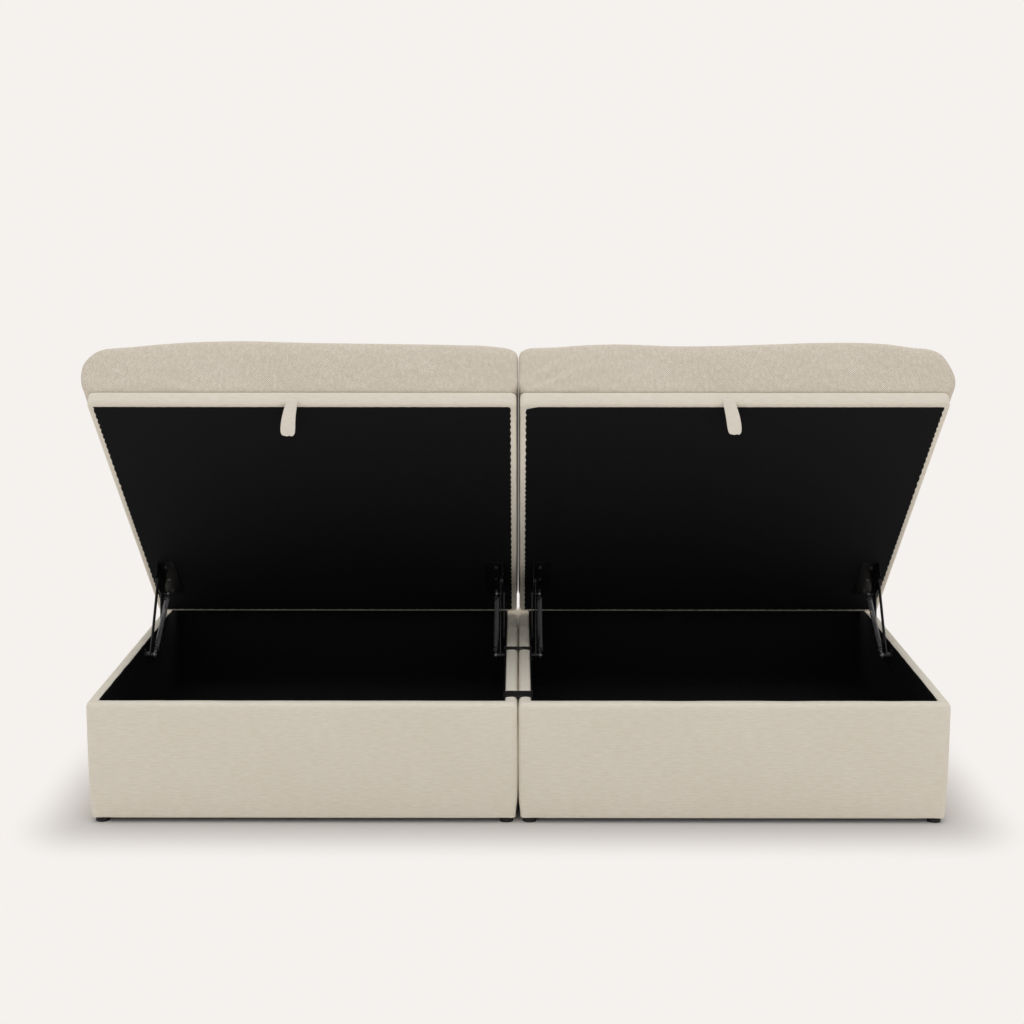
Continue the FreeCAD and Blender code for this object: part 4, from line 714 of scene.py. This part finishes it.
# Drag folds on the front of each cushion: start (from the inner side, height), length, angle and depth.
DRAG_FOLDS = {
    "left": ((150, 4, 120, 160, 1.2), (700, 6, 130, 20, 1.4), (860, 20, 90, 62, 1.6)),
    "right": ((18, 6, 150, 28, 2.8), (12, 18, 120, 47, 2.4), (60, 2, 170, 16, 2.2), (30, 40, 100, 70, 1.6)),
}
# All of them are drawn deeper by this share, so that they show in soft light.
FOLD_DEPTH = 1.7


def front_folds(from_inner, height, hand):
    """How far the folds that run up from the seam stand out on the cushion's front, in millimetres."""
    depth = np.zeros(len(height))
    for start_x, start_h, length, angle, size in DRAG_FOLDS[hand]:
        turn = math.radians(angle)
        across = from_inner / MM - start_x
        up = height / MM - start_h
        along = across * math.cos(turn) + up * math.sin(turn)
        off = -across * math.sin(turn) + up * math.cos(turn) + 6 * np.sin(along / 55)
        fade = smooth(-12, 25, along) * (1 - smooth(length * 0.5, length, along))
        ridge = np.exp(-((off / 7) ** 2))
        groove = 0.8 * np.exp(-(((off - 13) / 8) ** 2))
        depth += FOLD_DEPTH * size * fade * (ridge - groove)
    return depth


# Front outline of each pull tab, from its top to its rounded end: drop below the seam, middle line and
# half width in mm. The straps hang a little aslant and curl.
TAB_LINE = {
    "left": (
        (0, 0, 12.4), (8, -1.6, 12.8), (18, -4.4, 13.4), (30, -7.2, 14.4), (44, -9.8, 15.4),
        (58, -11.2, 16.2), (68, -11.8, 16.4), (75, -12.0, 15.6), (79.5, -12.1, 13.2), (81.6, -12.2, 9.5),
    ),
    "right": (
        (0, 0, 13.0), (8, 2.2, 13.4), (18, 4.8, 14.2), (30, 8.2, 15.0), (44, 11.6, 15.6),
        (58, 14.0, 15.8), (67, 15.2, 15.4), (73, 15.8, 14.4), (77, 16.1, 12.0), (79, 16.2, 8.5),
    ),
}
# How far each tab's sewn end lies to the right of its solid's middle, in mm.
TAB_TOP = {"left": 6, "right": -8}


def make_tab(hand):
    """The pull tab: a strap folded on itself, sewn into the seam at the lid's front edge."""
    node = f"{hand}_pull_tab"
    low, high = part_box(node)
    side = SIDES[hand]
    lines = TAB_LINE[hand]
    half_thick = 2.3
    across = np.linspace(-1, 1, 13)
    front = []
    back = []
    for drop, middle, half in lines:
        for t in across:
            edge = abs(t) ** 5
            hem = 0.55 * math.exp(-(((t - side * -0.72) / 0.07) ** 2))
            thick = half_thick * (1 - 0.45 * edge)
            bow = 1.3 * math.sin(math.pi * drop / 81) - 0.9 * t * side * drop / 81
            ripple = 0.5 * math.sin(t * 5 + drop / 9) * smooth(40, 80, drop)
            front.append((middle + half * t, -thick - bow + hem - ripple, -drop - ripple))
            back.append((middle + half * t, thick - bow - ripple, -drop - ripple))
    columns = len(across)
    rows = len(lines)
    faces = []
    for r in range(rows - 1):
        for c in range(columns - 1):
            a = r * columns + c
            faces.append((a, a + columns, a + columns + 1, a + 1))
            b = a + rows * columns
            faces.append((b, b + 1, b + columns + 1, b + columns))
    rim = [r * columns for r in range(rows)]
    rim += [(rows - 1) * columns + c for c in range(1, columns)]
    rim += [r * columns + columns - 1 for r in range(rows - 2, -1, -1)]
    rim += [c for c in range(columns - 2, 0, -1)]
    shift = rows * columns
    for first, second in zip(rim, rim[1:] + rim[:1]):
        faces.append((first, first + shift, second + shift, second))
    points = np.array(front + back) * MM
    top_x = (low[0] + high[0]) / 2 + TAB_TOP[hand] * MM
    place = Matrix.Translation((top_x, (low[1] + high[1]) / 2, high[2] - 0.5 * MM))
    # The strap wears the linen's lighter copy of its colours, a painted highlight.
    piece = new_piece(f"{hand}_tab_strap", points, faces, TAB_LINEN_PAINTED_LIGHTER, place)
    soft = piece.modifiers.new("soft", "SUBSURF")
    soft.levels = 2
    soft.render_levels = 2
    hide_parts(node)
    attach(piece, f"{hand}_tab")


def make_pin_head(name, node):
    """A bright domed head on the free end of a base bracket's front pin."""
    y, z = FRONT_PIVOT
    radius = 5.5 * MM
    points = 24
    low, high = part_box(node)
    middle = math.copysign(HALF_PITCH, low[0])
    inward = 1 if low[0] < middle else -1
    face = high[0] if inward > 0 else low[0]
    rings = []
    turn = np.linspace(0, 2 * math.pi, points, endpoint=False)
    for rise, share in ((-0.2, 1.0), (0.3, 1.0), (0.9, 0.86), (1.3, 0.6), (1.5, 0.28), (1.35, 0.12)):
        rings.append(
            np.column_stack(
                [
                    np.full(points, face + inward * rise * MM),
                    y + radius * share * np.cos(turn),
                    z + inward * radius * share * np.sin(turn),
                ]
            )
        )
    piece = new_piece(name, np.vstack(rings), ring_faces(len(rings), points, fill_last=True), ZINC)
    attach(piece, "bases")


# The floor's plain tone, and the darker tone painted on it near the object as its shadow.
PALE = "#f5f1ee"
PAINTED_SHADOW_TONE = "#d5d1cd"
# The painted shadow fades out at this distance from the boxes, sooner at their sides, and is weaker at the
# back.
SHADOW_REACH = 0.24
SIDE_FADE = 1.25
BACK_SHARE = 0.35
# It starts this far inside the boxes' faces, and weakens over this length either side of the middle.
SHADOW_INSET = 10 * MM
SHADOW_TURN = 0.2
FLOOR_HALF = 30
# Strength of the surround at the horizon and overhead.
SURROUND_LOW = 0.58
SURROUND_HIGH = 1.02


def background_rays(tree):
    """1 for the rays that show the background itself: straight, mirrored or let through."""
    path = add_node(tree, "ShaderNodeLightPath").outputs
    seen = add_node(
        tree, "ShaderNodeMath", {0: path["Is Camera Ray"], 1: path["Is Glossy Ray"]}, operation="MAXIMUM"
    ).outputs[0]
    return add_node(
        tree, "ShaderNodeMath", {0: seen, 1: path["Is Transmission Ray"]}, operation="MAXIMUM"
    ).outputs[0]


def make_stage():
    """A pale paper floor with a painted shadow: near the boxes the camera sees a darker tone painted as
    their shadow, and further out than the object's shadow it sees its plain tone.
    """
    material = bpy.data.materials.new("pale_paper_painted_shadow")
    material.use_nodes = True
    tree = material.node_tree
    tree.nodes.clear()
    paper = add_node(tree, "ShaderNodeBsdfDiffuse", {"Color": linear(PALE), "Roughness": 0.5})
    painted_shadow = add_node(tree, "ShaderNodeBsdfDiffuse", {"Color": linear(PAINTED_SHADOW_TONE), "Roughness": 0.5})
    plain = add_node(tree, "ShaderNodeEmission", {"Color": linear(PALE), "Strength": 1.0})
    position = add_node(tree, "ShaderNodeNewGeometry").outputs["Position"]
    edge = (HALF_PITCH + HALF_WIDTH - SHADOW_INSET, HALF_DEPTH - SHADOW_INSET, 0.0)
    step = position
    for operation, second in (
        ("ABSOLUTE", None),
        ("SUBTRACT", edge),
        ("MAXIMUM", (0.0, 0.0, 0.0)),
        ("MULTIPLY", (SIDE_FADE, 1.0, 0.0)),
    ):
        inputs = {0: step} if second is None else {0: step, 1: second}
        step = add_node(tree, "ShaderNodeVectorMath", inputs, operation=operation).outputs["Vector"]
    distance = add_node(tree, "ShaderNodeVectorMath", {0: step}, operation="LENGTH").outputs["Value"]
    back = add_node(tree, "ShaderNodeSeparateXYZ", {0: position}).outputs["Y"]
    near, in_front = (
        add_node(tree, "ShaderNodeMapRange", inputs, interpolation_type="SMOOTHSTEP").outputs[0]
        for inputs in (
            {0: distance, 1: 0.0, 2: SHADOW_REACH, 3: 1.0, 4: 0.0},
            {0: back, 1: -SHADOW_TURN, 2: SHADOW_TURN, 3: 1.0, 4: BACK_SHARE},
        )
    )
    depth = add_node(tree, "ShaderNodeMath", {0: near, 1: in_front}, operation="MULTIPLY").outputs[0]
    # Near the boxes the camera sees the darker painted shadow tone, fading out to the plain tone.
    drawn = add_node(tree, "ShaderNodeMixShader", {0: depth, 1: plain.outputs[0], 2: painted_shadow.outputs[0]})
    seen = background_rays(tree)
    mixed = add_node(tree, "ShaderNodeMixShader", {0: seen, 1: paper.outputs[0], 2: drawn.outputs[0]})
    add_node(tree, "ShaderNodeOutputMaterial", {"Surface": mixed.outputs[0]})
    mesh = bpy.data.meshes.new("floor")
    corners = [(x * FLOOR_HALF, y * FLOOR_HALF, 0) for x, y in ((-1, -1), (1, -1), (1, 1), (-1, 1))]
    mesh.from_pydata(corners, [], [(0, 1, 2, 3)])
    mesh.materials.append(material)
    floor = bpy.data.objects.new("floor", mesh)
    bpy.context.collection.objects.link(floor)


def add_lamp(name, kind, energy, tip, place=(0, 0, 0)):
    """A lamp at the given place, tipped from pointing straight down by the given angle in degrees."""
    lamp = bpy.data.lights.new(name, kind)
    lamp.energy = energy
    holder = bpy.data.objects.new(name, lamp)
    holder.location = place
    holder.rotation_euler = (math.radians(tip), 0, 0)
    bpy.context.collection.objects.link(holder)
    return lamp, holder


def make_lights():
    """Soft studio light: a pale surround, brighter overhead, and a broad light from above and behind."""
    overhead, _ = add_lamp("broad_overhead", "SUN", energy=0.5, tip=-22)
    overhead.angle = math.radians(60)
    fill, fill_holder = add_lamp("fill_under_lids", "AREA", energy=1.2, tip=76, place=(0, -0.5, 0.6))
    fill.shape = "RECTANGLE"
    fill.size = 1.7
    fill.size_y = 0.25
    fill_holder.visible_camera = False
    fill_holder.visible_glossy = False
    # It reaches the cloth of the boxes and lids alone, so that closed seats get no bright band.
    reached = bpy.data.collections.new("cloth_under_lids")
    for hand in SIDES:
        for name in (f"{hand}_base_upholstery", f"{hand}_lid_wrap"):
            reached.objects.link(bpy.data.objects[name])
    fill_holder.light_linking.receiver_collection = reached
    world = bpy.data.worlds.new("surround")
    bpy.context.scene.world = world
    world.use_nodes = True
    tree = world.node_tree
    tree.nodes.clear()
    direction = add_node(tree, "ShaderNodeTexCoord").outputs["Generated"]
    height = add_node(tree, "ShaderNodeSeparateXYZ", {0: direction}).outputs["Z"]
    strength = add_node(
        tree, "ShaderNodeMapRange", {0: height, 3: SURROUND_LOW, 4: SURROUND_HIGH}
    ).outputs[0]
    surround = add_node(tree, "ShaderNodeBackground", {"Color": linear("#fdfdfd"), "Strength": strength})
    plain = add_node(tree, "ShaderNodeBackground", {"Color": linear(PALE), "Strength": 1.0})
    seen = background_rays(tree)
    mixed = add_node(tree, "ShaderNodeMixShader", {0: seen, 1: surround.outputs[0], 2: plain.outputs[0]})
    add_node(tree, "ShaderNodeOutputWorld", {"Surface": mixed.outputs[0]})


# The camera: its distance in front of the boxes, its height, and how far it is tipped down and turned.
CAMERA_AWAY = 3.765
CAMERA_HEIGHT = 1.374
CAMERA_TIP = 10.22
CAMERA_TURN = 0.2


def make_camera():
    """The photograph's view: a long lens a little above the raised seats, tipped down."""
    camera = bpy.data.cameras.new("camera")
    camera.lens = 63.28
    camera.sensor_width = 36
    camera.sensor_fit = "HORIZONTAL"
    holder = bpy.data.objects.new("camera", camera)
    holder.location = (0, -HALF_DEPTH - CAMERA_AWAY, CAMERA_HEIGHT)
    holder.rotation_euler = (math.radians(90 - CAMERA_TIP), 0, math.radians(CAMERA_TURN))
    bpy.context.collection.objects.link(holder)
    bpy.context.scene.camera = holder


dress_frame()
for hand in SIDES:
    make_base_cover(hand)
    make_lining(hand)
    make_lid_cover(hand)
    make_underlining(hand)
    make_cushion(hand)
    make_tab(hand)
    for place in ("outer", "inner"):
        make_pin_head(f"{hand}_{place}_front_pin_head", f"{hand}_{place}_base_bracket")
make_stage()
make_lights()
make_camera()
bpy.context.scene.view_settings.view_transform = "Standard"
